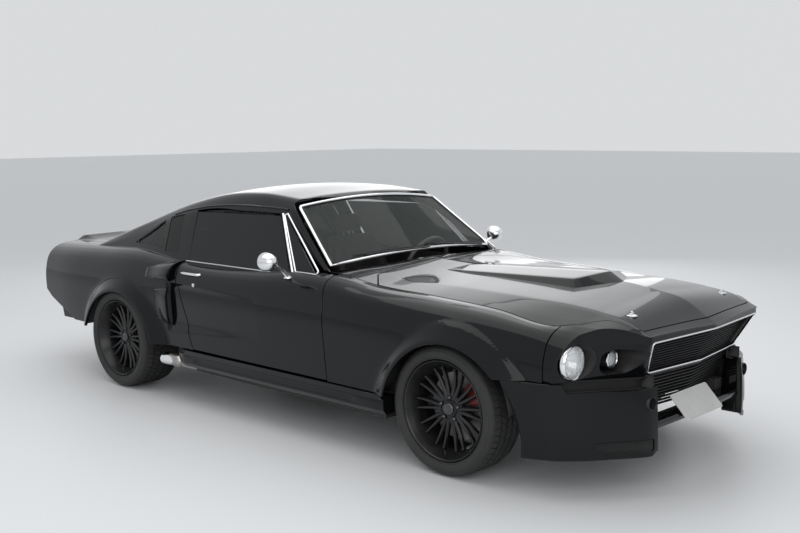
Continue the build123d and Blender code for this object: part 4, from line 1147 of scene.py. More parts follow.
for side, label in SIDES:
    # Pocket: an extra-dark sheet behind each mesh hole; its darkness is painted shade in the open duct.
    pocket = valance_form(*dense(mesh_hole, 10).T, side)
    inner = pocket + (-34, -side * 30, 0)
    pocket_rows = np.stack([pocket - (3, side * 3, 0), inner, inner.mean(axis=0) + 0 * inner])
    wall = joined(f"valance_pocket_{label}", [pocket_rows], liner_shade_black, closed=(0,), angle=50)
    add_panel(walled(wall, 2), "body", "front_valance")
    mouth_x, mouth_y, _ = valance_form(np.array([DUCT_A]), np.array([DUCT_Z]), side)[0]
    pipe = [(-60, 0), (-60, 30), (1, 32), (4, 31), (3, 28.5), (-56, 26), (-56, 0)]
    pipe = turned(f"brake_duct_{label}", pipe, (mouth_x, mouth_y, DUCT_Z), satin, steps=40)
    add_panel(pipe, "body", "front_valance")
    cheek = bilinear(((800, 0, 216), (900, 0, 216), (893, 0, 503), (800, 0, 503)), 4, 12) + (0, side * 414, 0)
    add_panel(walled(joined(f"mouth_cheek_{label}", [cheek], paint), 6), "body", "front_valance")


def swept(name, section, stations, material):
    """solid with the same closed section at every station; each station maps section points to places"""
    grid = np.stack([station(section) for station in stations])
    return joined(name, [capped(grid)], material, closed=(0,))


def chin_place(y):
    return lambda section: xyz(section[:, 0] - 10 * (y / 412) ** 2, y, section[:, 1])


chin_section = rounded_loop([(884, 338), (896, 328), (892, 306), (850, 298), (800, 306), (800, 338)],
                            (6, 8, 8, 14, 4, 4))
chin = swept("chin_bar", chin_section, [chin_place(y) for y in np.linspace(-412, 412, 17)], paint)
add_panel(chin, "body", "front_valance")

# Side scoops: two thin mouldings a side, bonded to the quarter panel behind the door and open at the front,
# each over a throat closed by an extra-dark sheet, whose darkness is painted shade.
def blister(name, side, mouth, end, low, high, lift, slant, hold, wall=7):
    """hood over the skin from its mouth at x = mouth back to x = end; low and high are its heights at each, and
    the skin it stands on is read no further forward than hold"""
    u, v = np.linspace(0, 1, 26)[:, None], np.linspace(0, 1, 25)[None, :]
    z = (low[0] + (low[1] - low[0]) * u) * (1 - v) + (high[0] + (high[1] - high[0]) * u) * v
    x = mouth + (end - mouth) * u + slant * (z - 800) * (1 - u)
    ref = np.minimum(x, hold)
    base = skin(ref.ravel(), s_at_height(ref.ravel(), z.ravel())).reshape(*z.shape, 3)
    base[..., 0] = x
    rise = lift * (1 - ramp(u)) * (1 - np.abs(2 * v - 1) ** 4)
    outer = base + rise[..., None] * (0, 1, 0.1)
    inner = base + np.maximum(rise - wall, 0)[..., None] * (0, 1, 0.1)
    grids = [grid * (1, side, 1) for grid in (outer, inner, np.stack([outer[0], inner[0]]))]
    add_panel(joined(name, grids, paint, angle=50), "body", "quarter_panels")
    # The throat: an extra-dark sheet that closes the scoop behind its mouth, painted shade.
    throat = np.stack([base[2] - (0, 4, 0), inner[2] + (0, 1, 0)]) * (1, side, 1)
    add_panel(walled(joined(f"{name}_throat", [throat], liner_shade_black), 2), "body", "quarter_panels")


for side, label in SIDES:
    blister(f"upper_scoop_{label}", side, -2172, -2440, (744, 748), (880, 806), 38, 0.1, -2172)
    blister(f"lower_scoop_{label}", side, -2192, -2330, (476, 500), (704, 684), 15, 0.0, -2216)

# Slot below the lamps, where the bumper was: an extra-dark liner closes the gap between the nose and the
# valance,
# painted shade where the open gap would show. Two extra-dark plates stand beside the radiator behind the
# grilles:
# real plates, darkened further as painted shade.
slot_x, slot_y = (VALANCE_TOP[:6] - (66, 26)).T
for side, label in SIDES:
    rows = [xyz(slot_x - back, side * slot_y, z) for z, back in ((498, -30), (500, 0), (546, 0), (547, -30))]
    liner = joined(f"bumper_slot_{label}", [np.stack(rows)], liner_shade_black)
    add_panel(walled(liner, 3), "body", "front_valance")
for side, label in SIDES:
    wall = bilinear(((700, 0, 300), (872, 0, 300), (880, 0, 556), (700, 0, 556)), 2, 2) + (0, side * 424, 0)
    add_panel(walled(joined(f"radiator_shroud_{label}", [wall], liner_shade_black), 3), "body", "grilles")

# Number plate: a blank, pressed plate of enamelled metal on two bent brackets, leaning back over the chin.
plate_white = varied("plate_enamel", (0.55, 0.55, 0.53), (0.62, 0.62, 0.60), (0.25, 0.4), slot="satin_black")
plate_ring = rounded_loop([(-176, -72), (176, -72), (176, 72), (-176, 72)], 12)
PLATE_CENTRE, PLATE_UP, PLATE_OUT = (877, -8, 360), np.array((-0.68, 0, 0.733)), np.array((0.733, 0, 0.68))


def plate_place(points, rise):
    """places of the leaning plate's points, given by its own width and height, raised from its middle plane"""
    return PLATE_CENTRE + xyz(0, points[:, 0], 0) + PLATE_UP * points[:, 1:] + PLATE_OUT * rise


PLATE_ROWS = ((0.0, -2.5), (0.99, -2.5), (1.0, -1.5), (1.0, 1.5), (0.985, 2.5), (0.965, 2.4), (0.955, 1.2),
              (0.0, 1.2))
plate_grid = np.stack([plate_place(plate_ring * scale, rise) for scale, rise in PLATE_ROWS])
add_panel(joined("number_plate", [plate_grid], plate_white, closed=(0,), angle=30), "body", "front_valance")
for y in (-90, 90):
    bracket = [(885, y, 318), (898, y, 312), (910, y, 314), (906, y, 326)]
    add_panel(bar(f"plate_bracket_{y + 90}", bracket, 5, satin, 8, flatten=2.2), "body", "front_valance")

# Wheels: one-piece, deep-dished rims with ten pairs of slim spokes, painted satin black, five nuts and a cap.
# The cast-iron disc turns with them. Each fits over its hub and is held by the nuts.
RIM_RADIUS, TYRE_RADIUS, SPOKE_FACE, DISC_BACK = 246, 323, 62, 162
# end, x of the axle, y of the outer lip, width
WHEELS = (("front", 0, 855, 229), ("rear", -2743, 905, 267))
SPOKE_PAIRS, NUTS, NUT_CIRCLE = 10, 5, 55
rim_black = varied("rim_black", (0.010, 0.010, 0.011), (0.018, 0.018, 0.019), (0.22, 0.36), 0.3, scale=20.0)
cast_iron = varied("cast_iron", (0.16, 0.155, 0.15), (0.26, 0.25, 0.245), (0.28, 0.45), 0.9, scale=30.0,
                   grain=0.2,
                   slot="rim_black")
caliper_red = varied("caliper_red", (0.16, 0.010, 0.010), (0.21, 0.014, 0.012), (0.3, 0.42), scale=25.0,
                     slot="gloss_black_paint")
dark_steel = varied("dark_steel", (0.07, 0.07, 0.075), (0.11, 0.11, 0.115), (0.25, 0.4), 0.9, scale=40.0,
                    slot="rim_black")


def wheel_solid(name, profile, x, side, material, steps=TURN_STEPS, angle=35, at=(0, 0)):
    """solid turned about the wheel's axle from (y on the left side, radius); at moves its axis in x and z"""
    profile = np.asarray(profile, float) * (side, 1)
    return turned(name, profile, (x + at[0], 0, TYRE_RADIUS + at[1]), material, "y", steps, angle)


def spoke_grid(angle, face, x, side):
    """grid of one spoke: chamfered section, slim towards the rim, where it bends out to the barrel"""
    t = np.linspace(0, 1, 9)[:, None]
    radius = 54 + (206 - 54) * t
    half = 10.5 - 3.5 * t
    front = face + 2 - 9 * t + 16 * t ** 3
    deep = front - 22 + 4 * t
    across = half * np.array([-1, -0.55, 0.55, 1, 1, -1])
    y = np.concatenate([front - 5, front, front, front - 5, deep, deep], axis=1)
    a = angle + np.radians(t * 1.2)
    ahead, up = radius * np.cos(a) - across * np.sin(a), radius * np.sin(a) + across * np.cos(a)
    return capped(xyz(x + ahead, side * y, TYRE_RADIUS + up))


for end, x, lip, width in WHEELS:
    inner, face, r, back = lip - width, lip - SPOKE_FACE, RIM_RADIUS, lip - DISC_BACK
    barrel = [(lip - 1, r - 1), (lip, r - 5), (lip - 3, r - 9), (lip - 9, r - 12), (lip - 22, r - 19),
              (lip - 56, r - 37), (lip - 84, r - 43), (inner + 18, r - 43), (inner + 4, r - 15),
              (inner, r - 9),
              (inner, r - 1), (inner + 13, r - 1), (inner + 24, r - 33), (lip - 64, r - 33),
              (lip - 26, r - 12),
              (lip - 13, r - 1), (lip - 1, r - 1)]
    hub = [(face - 66, 0), (face - 66, 74), (face - 18, 76), (face - 6, 73), (face - 1, 66), (face - 3, 44),
           (face + 3, 40), (face + 4, 36), (face + 4, 0)]
    cap = [(face, 0), (face, 32), (face + 12, 31), (face + 16, 27), (face + 17.5, 0)]
    nut = [(face - 6, 0), (face - 6, 11), (face + 8, 10), (face + 11, 6), (face + 12, 0)]
    disc = [(back, 60), (back, 168), (back + 11, 168), (back + 11, 150), (back + 17, 150), (back + 17, 168),
            (back + 28, 168), (back + 28, 98), (back + 46, 92), (back + 60, 88), (back + 60, 0), (back, 0)]
    for side, label in SIDES:
        tag = f"{end}_{label}"
        grids = [spoke_grid(2 * pi * k / SPOKE_PAIRS + radians(spread), face, x, side)
                 for k in range(SPOKE_PAIRS) for spread in (-7, 7)]
        pieces = [wheel_solid(f"rim_{tag}", barrel, x, side, rim_black, 96),
                  joined(f"spokes_{tag}", grids, rim_black, closed=range(len(grids))),
                  wheel_solid(f"hub_{tag}", hub, x, side, rim_black),
                  wheel_solid(f"cap_{tag}", cap, x, side, dark_steel, 48)]
        for k in range(NUTS):
            a = 2 * pi * k / NUTS + 0.3
            spot = (NUT_CIRCLE * cos(a), NUT_CIRCLE * sin(a))
            pieces.append(wheel_solid(f"nut_{tag}_{k}", nut, x, side, dark_steel, 6, 20, spot))
        pieces.append(wheel_solid(f"brake_disc_{tag}", disc, x, side, cast_iron, 72))
        stem = [(x, side * (lip - back), TYRE_RADIUS - r + up) for back, up in ((30, 22), (27, 36), (25, 50))]
        pieces.append(bar(f"valve_{tag}", stem, 3.2, dark_steel, 8))
        for piece in pieces:
            add_panel(piece, f"{tag}_wheel", f"wheel_{tag}")

# Brake calipers: painted dark red, four-piston bridges over the disc's edge, bolted to the knuckles in front
# and to the axle behind.
CALIPER_ANGLES = np.radians(np.linspace(13, 57, 12))
for end, x, lip, _ in WHEELS:
    back = lip - DISC_BACK
    section = rounded_loop([(back - 31, 95), (back - 31, 191), (back + 59, 191), (back + 59, 95),
                            (back + 36, 95), (back + 36, 176), (back - 8, 176), (back - 8, 95)],
                           (4, 9, 9, 4, 3, 3, 3, 3))
    y, radius = section.T
    for side, label in SIDES:
        rows = [xyz(x + radius * cos(a), side * y, TYRE_RADIUS + radius * sin(a)) for a in CALIPER_ANGLES]
        piece = joined(f"caliper_{end}_{label}", [np.stack(rows)], caliper_red, closed=(0,), angle=30)
        work = bmesh.new()
        work.from_mesh(piece.data)
        bmesh.ops.holes_fill(work, edges=[edge for edge in work.edges if len(edge.link_faces) == 1], sides=0)
        bmesh.ops.recalc_face_normals(work, faces=work.faces)
        work.to_mesh(piece.data)
        work.free()
        add_panel(piece, f"{label}_knuckle" if end == "front" else "body", None)

# Tyres: low, wide radials of moulded rubber with a square shoulder, fitted to the rims. The tread is ribs
# of skewed blocks.
rubber = varied("tyre_rubber", (0.017, 0.017, 0.017), (0.028, 0.028, 0.027), (0.55, 0.78), grain=0.35,
                grain_scale=900.0, slot="satin_black")
PITCHES, RIBS, GROOVE, TREAD_DEPTH, SHOULDER_DROP = 60, 5, 9, 15, 8
BLOCK_FACES = np.array([(0, 1, 3, 2), (4, 6, 7, 5), (0, 4, 5, 1), (2, 3, 7, 6), (0, 2, 6, 4), (1, 5, 7, 3)])


def rib_blocks(rib, y0, y1, x, side):
    """eight corners of every block of one rib: skewed in the middle ribs, and sloped off at the shoulders"""
    shoulder, last = rib in (0, RIBS - 1), rib == RIBS - 1
    skew = 0.0 if shoulder else (0.03 if rib % 2 else -0.03)
    step = 2 * pi / PITCHES
    base = step * (np.arange(PITCHES)[:, None] + 0.5 * (rib % 2))
    corners = []
    for level in (0, 1):
        for y, shift, inward, sloped in ((y0, -skew, 1, rib == 0), (y1, skew, -1, last)):
            for a in (0.07, 0.93):
                inset = 1.2 * inward * level * (not sloped)
                height = TYRE_RADIUS - SHOULDER_DROP * sloped if level else TYRE_RADIUS - TREAD_DEPTH
                angle = base + step * a + shift
                corners.append(xyz(x + height * np.cos(angle), side * (y + inset),
                                   TYRE_RADIUS + height * np.sin(angle)))
    return np.stack(corners, axis=1).reshape(-1, 3)


for end, x, lip, width in WHEELS:
    inner = lip - width
    wall = [(lip - 14, 248.5), (lip - 4, 250), (lip + 1, 253), (lip + 2, 256), (lip + 0.5, 259),
            (lip + 5, 268),
            (lip + 8, 280), (lip + 7.4, 290), (lip + 5.4, 292), (lip + 5.2, 294), (lip + 2, 303),
            (lip - 6, 311),
            (lip - 16, 315.5), (lip - 28, 316.5)]
    far_wall = [(inner + lip - y, r) for y, r in wall[::-1]]
    edges = np.linspace(inner + 8, lip - 8, RIBS + 1)
    starts = 8 * np.arange(PITCHES * RIBS)[:, None, None]
    faces = (BLOCK_FACES[None] + starts).reshape(-1, 4).tolist()
    for side, label in SIDES:
        body, node = f"{end}_{label}_wheel", f"tyre_{end}_{label}"
        carcass = wheel_solid(f"carcass_{end}_{label}", wall + far_wall + wall[:1], x, side, rubber, 96)
        add_panel(carcass, body, node, "tyre")
        ribs = [rib_blocks(rib, edges[rib] + GROOVE / 2, edges[rib + 1] - GROOVE / 2, x, side)
                for rib in range(RIBS)]
        tread = new_mesh(f"tread_{end}_{label}", np.concatenate(ribs), faces, rubber, 20)
        add_panel(tidy(tread, 0.0001), body, node, "tyre")

# Side skirts: long plastic mouldings below the doors with a slot-like recess, painted with the body and
# screwed to the sills.
skirt_section = rounded_loop([(820, 248), (885, 244), (904, 268), (906, 283), (907, 306), (905, 320),
                              (882, 340),
                              (820, 340)], (3, 9, 9, 2, 2, 9, 9, 3))


def skirt_station(x):
    """section at x on the right: the slot sinks in between its ends, and both ends are tucked under"""
    deep = 9 * ramp((x + 1930) / 60) * ramp((-520 - x) / 60)
    tuck = 12 * ramp((-2020 - x) / 60) + 6 * ramp((x + 420) / 80)

    def place(section):
        y, z = section.T
        inside = ramp((z - 281) / 4) * ramp((308 - z) / 4) * (y > 880)
        return xyz(x, -(y - deep * inside - tuck * (y > 830)), z + 4 * (x + 1200) / 1700)
    return place


skirt_xs = np.concatenate([np.linspace(-342, -470, 5), np.linspace(-520, -580, 5),
                           np.linspace(-700, -1800, 12),
                           np.linspace(-1870, -1930, 5), np.linspace(-1960, -2080, 7)])
skirt = swept("skirt_right", skirt_section, [skirt_station(x) for x in skirt_xs], paint)
add_pair(skirt, "body", "side_skirts")

# Wheelhouses: liners of pressed steel over each tyre, coated dark against stones and welded to the aprons
# and the floor.
# node, end, x of the axle, radius, y of the inner and the outer edge
WHEELHOUSES = (("front_wings", "front", 0, 408, 590, 858), ("quarter_panels", "rear", -2743, 392, 606, 898))
angle = np.radians(np.linspace(7, 173, 48))
for node, end, x, radius, y0, y1 in WHEELHOUSES:
    for side, label in SIDES:
        rows = [xyz(x + r * np.cos(angle), side * y, TYRE_RADIUS + r * np.sin(angle))
                for y, r in ((y0, radius - 34), (y0, radius - 6), (y0 + 6, radius), (y1, radius))]
        add_panel(walled(joined(f"wheelhouse_{end}_{label}", [np.stack(rows)], liner_shade_black), 2), "body", node)

# Windscreen surround: a bright half-round moulding clipped over the glass's edge. Slimmer bright frames edge
# the vent windows, and black rubber holds the fixed panes.
def screen_point(y, z, proud):
    """point of the windscreen's cone at that width and height, moved out along x by proud"""
    y, z = np.asarray(y, float), np.asarray(z, float)
    foot, head = np.array(SCREEN_BASE, float), np.array(SCREEN_TOP, float)
    share = (z - foot[0]) / (head[0] - foot[0])
    corner, middle, half = (foot[k] + (head[k] - foot[k]) * share for k in (1, 2, 3))
    return xyz(middle + (corner - middle) * (y / half) ** 2 + proud, y, z)


def screen_ring(inset):
    """outline of the glass in front view, inset from its edge, with an arched foot and head"""
    low, high = SCREEN_BASE[0] + inset, SCREEN_TOP[0] - inset
    half_low, half_high = SCREEN_BASE[3] - inset * 1.2, SCREEN_TOP[3] - inset
    share = np.linspace(-1, 1, 21)
    bottom = np.stack([share * half_low, low + 38 * (1 - share ** 2)], 1)
    top = np.stack([-share * half_high, high + 40 * (1 - share ** 2)], 1)
    return np.concatenate([bottom, top])


ring = rounded_loop(screen_ring(20), [0.6] * 20 + [26, 26] + [0.6] * 19 + [26])
ring = ring[np.linalg.norm(ring - np.roll(ring, 1, axis=0), axis=1) > 1.0]
trim = bar("screen_surround", screen_point(*ring.T, -2.5), 9.0, chrome, 12, closed=True)
add_panel(trim, "body", "windscreen_trim")
rubber_ring = screen_point(ring[:, 0] * 0.982, ring[:, 1] * 0.982 + 19, -6)
add_panel(bar("screen_rubber", rubber_ring, 6.5, rubber, 8, closed=True), "body", "windscreen_trim")


def side_pane(x, z, out):
    """point on the right side's glass plane, moved outwards"""
    return (x, -(776 - (z - 880) * 0.478 + out), z)


vent_loop = rounded_loop([(-928, 884), (-1128, 884), (-1372, 1176), (-1350, 1184)], (12, 10, 6, 6))
vent_path = [side_pane(x, z, -3) for x, z in vent_loop]
post_path = [side_pane(x, z, -1) for x, z in ((-1140, 868), (-1270, 1030), (-1388, 1182))]
belt_path = [side_pane(x, 868, 6 + 3 * sin((x + 900) / 400)) for x in np.linspace(-930, -2122, 16)]
add_pair(bar("vent_frame_right", vent_path, 5.5, chrome, 10, closed=True), "SIDE_door", None)
add_pair(bar("vent_post_right", post_path, 7.5, chrome, 10), "SIDE_door", None)
add_pair(bar("belt_trim_right", belt_path, 4.0, chrome, 8), "SIDE_door", None)

# Louvres: five upright blades let into each sail panel, and an extra-dark plate behind them, painted shade in
# the gaps between the blades. Rubber seals hold the quarter windows and the rear window, and a drip rail runs
# over each door.
LOUVRES = 5
GUTTER = [(-1366, 1206), (-1500, 1212), (-1700, 1214), (-1900, 1210), (-2100, 1194), (-2300, 1162),
          (-2440, 1128)]


def cabin_line(line, side, inset):
    """places on the cabin's side from x and height, moved by the inset"""
    x, s = cabin_side(line).T
    return cabin(x, s * side) - inset


for side, label in SIDES:
    lean = np.array((0, side, 0.3)) / np.hypot(1, 0.3)
    for k in range(LOUVRES):
        share = (k + 0.5) / LOUVRES
        foot = LOUVRE_SPACE[0] + (LOUVRE_SPACE[1] - LOUVRE_SPACE[0]) * share
        head = LOUVRE_SPACE[3] + (LOUVRE_SPACE[2] - LOUVRE_SPACE[3]) * share
        outer = cabin_line(foot + (head - foot) * np.linspace(-0.01, 1.01, 7)[:, None], side, 0)
        front, back = outer + (5, 0, 0) - lean * 13, outer + (-6, 0, 0) - lean
        rows = np.stack([front, back, back - lean * 3, front - lean * 3], axis=1)
        add_panel(joined(f"louvre_{label}_{k}", [capped(rows)], paint, closed=(0,)), "body", "roof")
    plate = cabin_line(dense(LOUVRE_SPACE, 30), side, (0, side * 26, 8))
    plate_rows = np.stack([plate, plate.mean(axis=0) + 0 * plate])
    add_panel(walled(joined(f"louvre_backing_{label}", [plate_rows], liner_shade_black, closed=(0,)), 2), "body",
              "roof")
    seal = cabin_line(rounded_loop(QUARTER_LIGHT, 14), side, (0, side * 3, 2))
    add_panel(bar(f"quarter_seal_{label}", seal, 5.5, rubber, 8, closed=True), "body", "roof")
    add_panel(bar(f"drip_rail_{label}", cabin_line(GUTTER, side, (0, -side * 3, 0)), 5.0, paint, 8), "body",
              "roof")
back_ring = rounded_loop(both_sides(cabin_top(REAR_GLASS)), [0.5, 0.5, 60, 60, 0.5, 0.5, 0.5, 60, 60, 0.5])
back_path = cabin(*dense(back_ring, 40).T) - (0, 0, 4)
add_panel(bar("rear_window_seal", back_path, 7, rubber, 8, closed=True), "body", None)

# Door mirrors: bullet pods of plated metal on slim stalks, screwed to the doors at a round foot. Their flat
# glass faces the driver.
MIRROR_POD = [(-1061, 0), (-1064, 14), (-1072, 28), (-1086, 40), (-1104, 48), (-1124, 51), (-1140, 51),
              (-1146, 49),
              (-1146, 45), (-1141, 43), (-1141, 0)]
MIRROR_GLASS = [(-1145, 0), (-1145, 43.5), (-1142, 44.5), (-1141, 0)]
MIRROR_STALK = np.array([(-1122, 838, 868), (-1121, 862, 893), (-1118, 892, 916), (-1114, 930, 936)], float)
MIRROR_FOOT = [(858, 0), (858, 24), (863, 23), (868, 15), (871, 0)]
for side, label in SIDES[::-1]:
    spot = (0, side * 975, 960)
    for piece in (turned(f"mirror_pod_{label}", MIRROR_POD, spot, chrome),
                  turned(f"mirror_glass_{label}", MIRROR_GLASS, spot, mirror_bowl),
                  bar(f"mirror_stalk_{label}", MIRROR_STALK * (1, side, 1), (13, 10.5, 9, 9), chrome, 14),
                  turned(f"mirror_foot_{label}", MIRROR_FOOT, (-1123, side * 832, 0), chrome, "z")):
        add_panel(piece, f"{label}_door", f"mirror_{label}")

# Door handles: a plated metal bar on two posts, bolted through the door's skin, with the lock's barrel below
# its rear end.
HANDLE_Z, LOCK_X, LOCK_Z = 806, -1937, 744


def skin_width(x, z):
    """half width of the car's side at x and height z"""
    return np.abs(skin(np.asarray(x, float), s_at_height(x, z))[:, 1])


rear_y, middle_y, front_y = skin_width([-2070, -1990, -1905], [HANDLE_Z] * 3)
handle_path = np.array([(-2072, rear_y - 2), (-2066, rear_y + 12), (-2035, middle_y + 17),
                        (-1940, middle_y + 17),
                        (-1909, front_y + 12), (-1903, front_y - 2)])
lock_y = skin_width([LOCK_X], [LOCK_Z])[0]
for side, label in SIDES[::-1]:
    grip = xyz(handle_path[:, 0], side * handle_path[:, 1], HANDLE_Z)
    add_panel(bar(f"door_handle_{label}", grip, (8, 8, 8.5, 8.5, 8, 8), chrome, 14), f"{label}_door", None)
    lock = [(side * (lock_y + out), r) for out, r in ((-4, 0), (-4, 12), (3, 11.5), (5, 8), (4, 0))]
    barrel = turned(f"door_lock_{label}", lock, (LOCK_X, 0, LOCK_Z), chrome, "y", 32)
    add_panel(barrel, f"{label}_door", None)

# Bonnet pins: a turned steel pin that stands up through a polished plate on each front corner of the bonnet,
# and a clip of bent wire that holds it.
PIN_X, PIN_Y = 769, 433
pin_z = skin(np.array([PIN_X]), s_at_width(np.array([PIN_X]), np.array([PIN_Y])))[0, 2]
for side, label in SIDES:
    spot = np.array((PIN_X, side * PIN_Y, pin_z))
    pin_plate = [(-3, 0), (-3, 25), (1.5, 25), (2.6, 23), (2.6, 9), (2.6, 0)]
    clip = [(-4, -20, 9), (-4, 6, 9), (0, 14, 10), (4, 6, 9), (4, -20, 9)]
    for piece in (turned(f"pin_plate_{label}", pin_plate, spot, chrome, "z", 40),
                  turned(f"pin_{label}", [(0, 0), (0, 5.5), (17, 5.5), (19, 3.5), (19, 0)], spot, chrome, "z",
                         24),
                  bar(f"pin_clip_{label}", spot + clip, 1.8, chrome, 8)):
        add_panel(piece, "bonnet", None)

# Tail: a flat panel with a recess for two groups of three upright lamps, a plain fuel cap between them, and a
# lower valance.
tail_s = np.concatenate([np.linspace(0, 1000, 40), np.linspace(1020, SILL_S, 40)])
tail_rim = skin(0 * tail_s + TAIL + 2, tail_s)[:, 1:]
tail_rim = tail_rim[tail_rim[:, 1] > 556]
tail_half = np.concatenate([tail_rim - (2, 2), [(tail_rim[-1, 0] - 2, 552), (0, 552)]])[:, ::-1]
recess = rounded_loop([(-620, 642), (620, 642), (620, 798), (-620, 798)], 14)
tail_sheet = trimmed(both_sides(tail_half)[:, ::-1], [recess], 12.0)
tail_skin = shell("tail_skin", tail_sheet, lambda y, z: xyz(TAIL + 2, y, z), 14, paint, (-1, 0, 0), 3)
add_panel(tail_skin, "body", "tail_panel")
recess_rim = xyz(TAIL + 4, *recess.T)
recess_floor = recess_rim + (12, 0, 0)
recess_rows = np.stack([recess_rim, recess_floor, recess_floor.mean(axis=0) + 0 * recess_floor])
add_panel(walled(joined("tail_recess", [recess_rows], satin, closed=(0,)), 2), "body", "tail_panel")
red_lens = varied("red_lens", (0.30, 0.006, 0.006), (0.42, 0.010, 0.008), (0.06, 0.16), scale=30.0,
                  Coat_Weight=0.8)
TAIL_LAMP_Z = 720
LENS_ROWS = ((0.0, 14), (1.0, 14), (1.0, 4), (0.93, 2), (0.0, 1.2))
pane = rounded_loop([(-38, -63), (38, -63), (38, 63), (-38, 63)], 9)
for side, label in SIDES:
    for k in range(3):
        centre = (side * (300 + 105 * k), TAIL_LAMP_Z)
        rows = [xyz(TAIL + depth, *(centre + pane * scale).T) for scale, depth in LENS_ROWS]
        lens = joined(f"tail_lens_{label}_{k}", [np.stack(rows)], red_lens, closed=(0,))
        add_panel(lens, "body", "tail_lamps")
        bezel = xyz(TAIL + 7, *(centre + pane * (1.05, 1.03)).T)
        add_panel(bar(f"tail_bezel_{label}_{k}", bezel, 4.0, chrome, 8, closed=True), "body", "tail_lamps")
cap_profile = [(14, 0), (14, 54), (4, 54), (1, 50), (1, 34), (3, 30), (2, 0)]
add_panel(turned("fuel_cap", cap_profile, (TAIL, 0, TAIL_LAMP_Z), chrome), "body", "tail_panel")


def rear_valance_station(y):
    """section at y, carried forward and gathered up towards the car's sides"""
    bow = 26 * (abs(y) / 790) ** 4
    height = 1 - 0.68 * ramp((abs(y) - 560) / 250) ** 1.5
    return lambda section: xyz(section[:, 0] + bow, y, 556 - (556 - section[:, 1]) * height)


rear_section = rounded_loop([(-3700, 332), (-3738, 400), (TAIL + 8, 548), (TAIL + 34, 556), (-3690, 440)],
                            (8, 30, 8, 4, 10))
rear_stations = [rear_valance_station(y) for y in np.linspace(-806, 806, 41)]
add_panel(swept("rear_valance_skin", rear_section, rear_stations, paint), "body", "rear_valance")
# Fillers: a satin black plate a side in the open hollow between the quarter panel's lower edge and the rear
# valance; it stands for the shade in that hollow, as painted shade.
shade_filler_sheet = trimmed([(-3690, 516), (-3376, 372), (-3376, 346), (-3640, 346)], (), 30.0)
for side, label in SIDES:
    shade_filler = shell(f"rear_filler_{label}", shade_filler_sheet, lambda x, z, side=side: xyz(x, side * 786, z), 4,
                   satin,
                   (0, side, 0))
    add_panel(shade_filler, "body", "rear_valance")

# Exhaust tips: oval ends of polished steel, pushed over the side pipes and clamped to them behind the
# skirts.
steel = varied("exhaust_steel", (0.33, 0.31, 0.29), (0.52, 0.50, 0.48), (0.2, 0.38), 1.0, scale=18.0)
TIP = [(-2120, 34), (-2180, 42), (-2226, 46), (-2232, 44.5), (-2230, 41), (-2190, 38), (-2140, 31), (-2140, 0),
       (-2120, 0)]
for side, label in SIDES:
    grid = lathe(TIP, (0, 0, 0), "x", 48) * (1, 1.12, 0.86) + (0, side * 880, 262)
    add_panel(joined(f"exhaust_tip_{label}", [grid], chrome, closed=(0,)), "body", None, "exhaust_steel")

# Glass: laminated windscreen with a faint green tint, and dark privacy glass all round behind it, bonded or
# held in rubber. It is the CAD panes that show.
def tinted(name, colour, alpha, rough=0.02):
    """thin glass of that colour that hides as much as alpha, a little more in soft patches"""
    finish = plain_material(name, colour, rough, Specular_IOR_Level=0.4)
    place = finish.node("ShaderNodeTexCoord").out("Object")
    film = finish.node("ShaderNodeTexNoise", {}, {"Vector": place, "Scale": 1.5, "Detail": 2.0})
    finish.put(finish.shader.inputs["Alpha"], alpha + film * 0.05)
    finish.put(finish.shader.inputs["Roughness"], rough + film * 0.02)
    return finish.owner


def dress(nodes, material):
    """gives CAD nodes that show their finish"""
    for node in nodes:
        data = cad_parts[node].data
        data.materials.clear()
        data.materials.append(material)


dress(["windscreen"], tinted("clear_glass", (0.045, 0.058, 0.052), 0.20))
dress(["rear_window", "quarter_windows", "door_glass_left", "door_glass_right"],
      tinted("dark_glass", (0.004, 0.005, 0.006), 0.80))

# Under the skin: floor, axles, engine and tank as sprayed, cast or bare metal. The firewall of pressed steel
# closes the cabin and is welded in.
underbody = varied("underbody", (0.020, 0.020, 0.021), (0.038, 0.037, 0.036), (0.6, 0.85), scale=7.0,
                   grain=0.5)
cast_metal = varied("cast_metal", (0.16, 0.16, 0.165), (0.25, 0.25, 0.255), (0.38, 0.6), 0.85, scale=14.0,
                    grain=0.4)
dress(["floor_pan", "fuel_tank"], underbody)
dress(["engine", "front_crossmember", "rear_axle", "knuckle_left", "knuckle_right"], cast_metal)
dress(["exhaust"], steel)
firewall_edge = [(-686, 310), (-686, 840), (-560, 862), (0, 872), (560, 862), (686, 840), (686, 310),
                 (160, 310),
                 (160, 380), (-160, 380), (-160, 310)]
firewall = shell("firewall", trimmed(firewall_edge, (), 30.0), lambda y, z: xyz(-776, y, z), 18, satin,
                 (1, 0, 0))
add_panel(firewall, "body", "cowl")

# Front seats: leather buckets with bolsters and stitched pleats over a steel frame, and headrests on two bars.
# The rear bench is two shallow buckets, with the parcel shelf behind it.
leather = varied("black_leather", (0.028, 0.027, 0.026), (0.050, 0.048, 0.046), (0.38, 0.58), grain=0.5,
                 grain_scale=260.0)
plastic = varied("interior_plastic", (0.016, 0.016, 0.017), (0.027, 0.027, 0.028), (0.45, 0.65), grain=0.3)


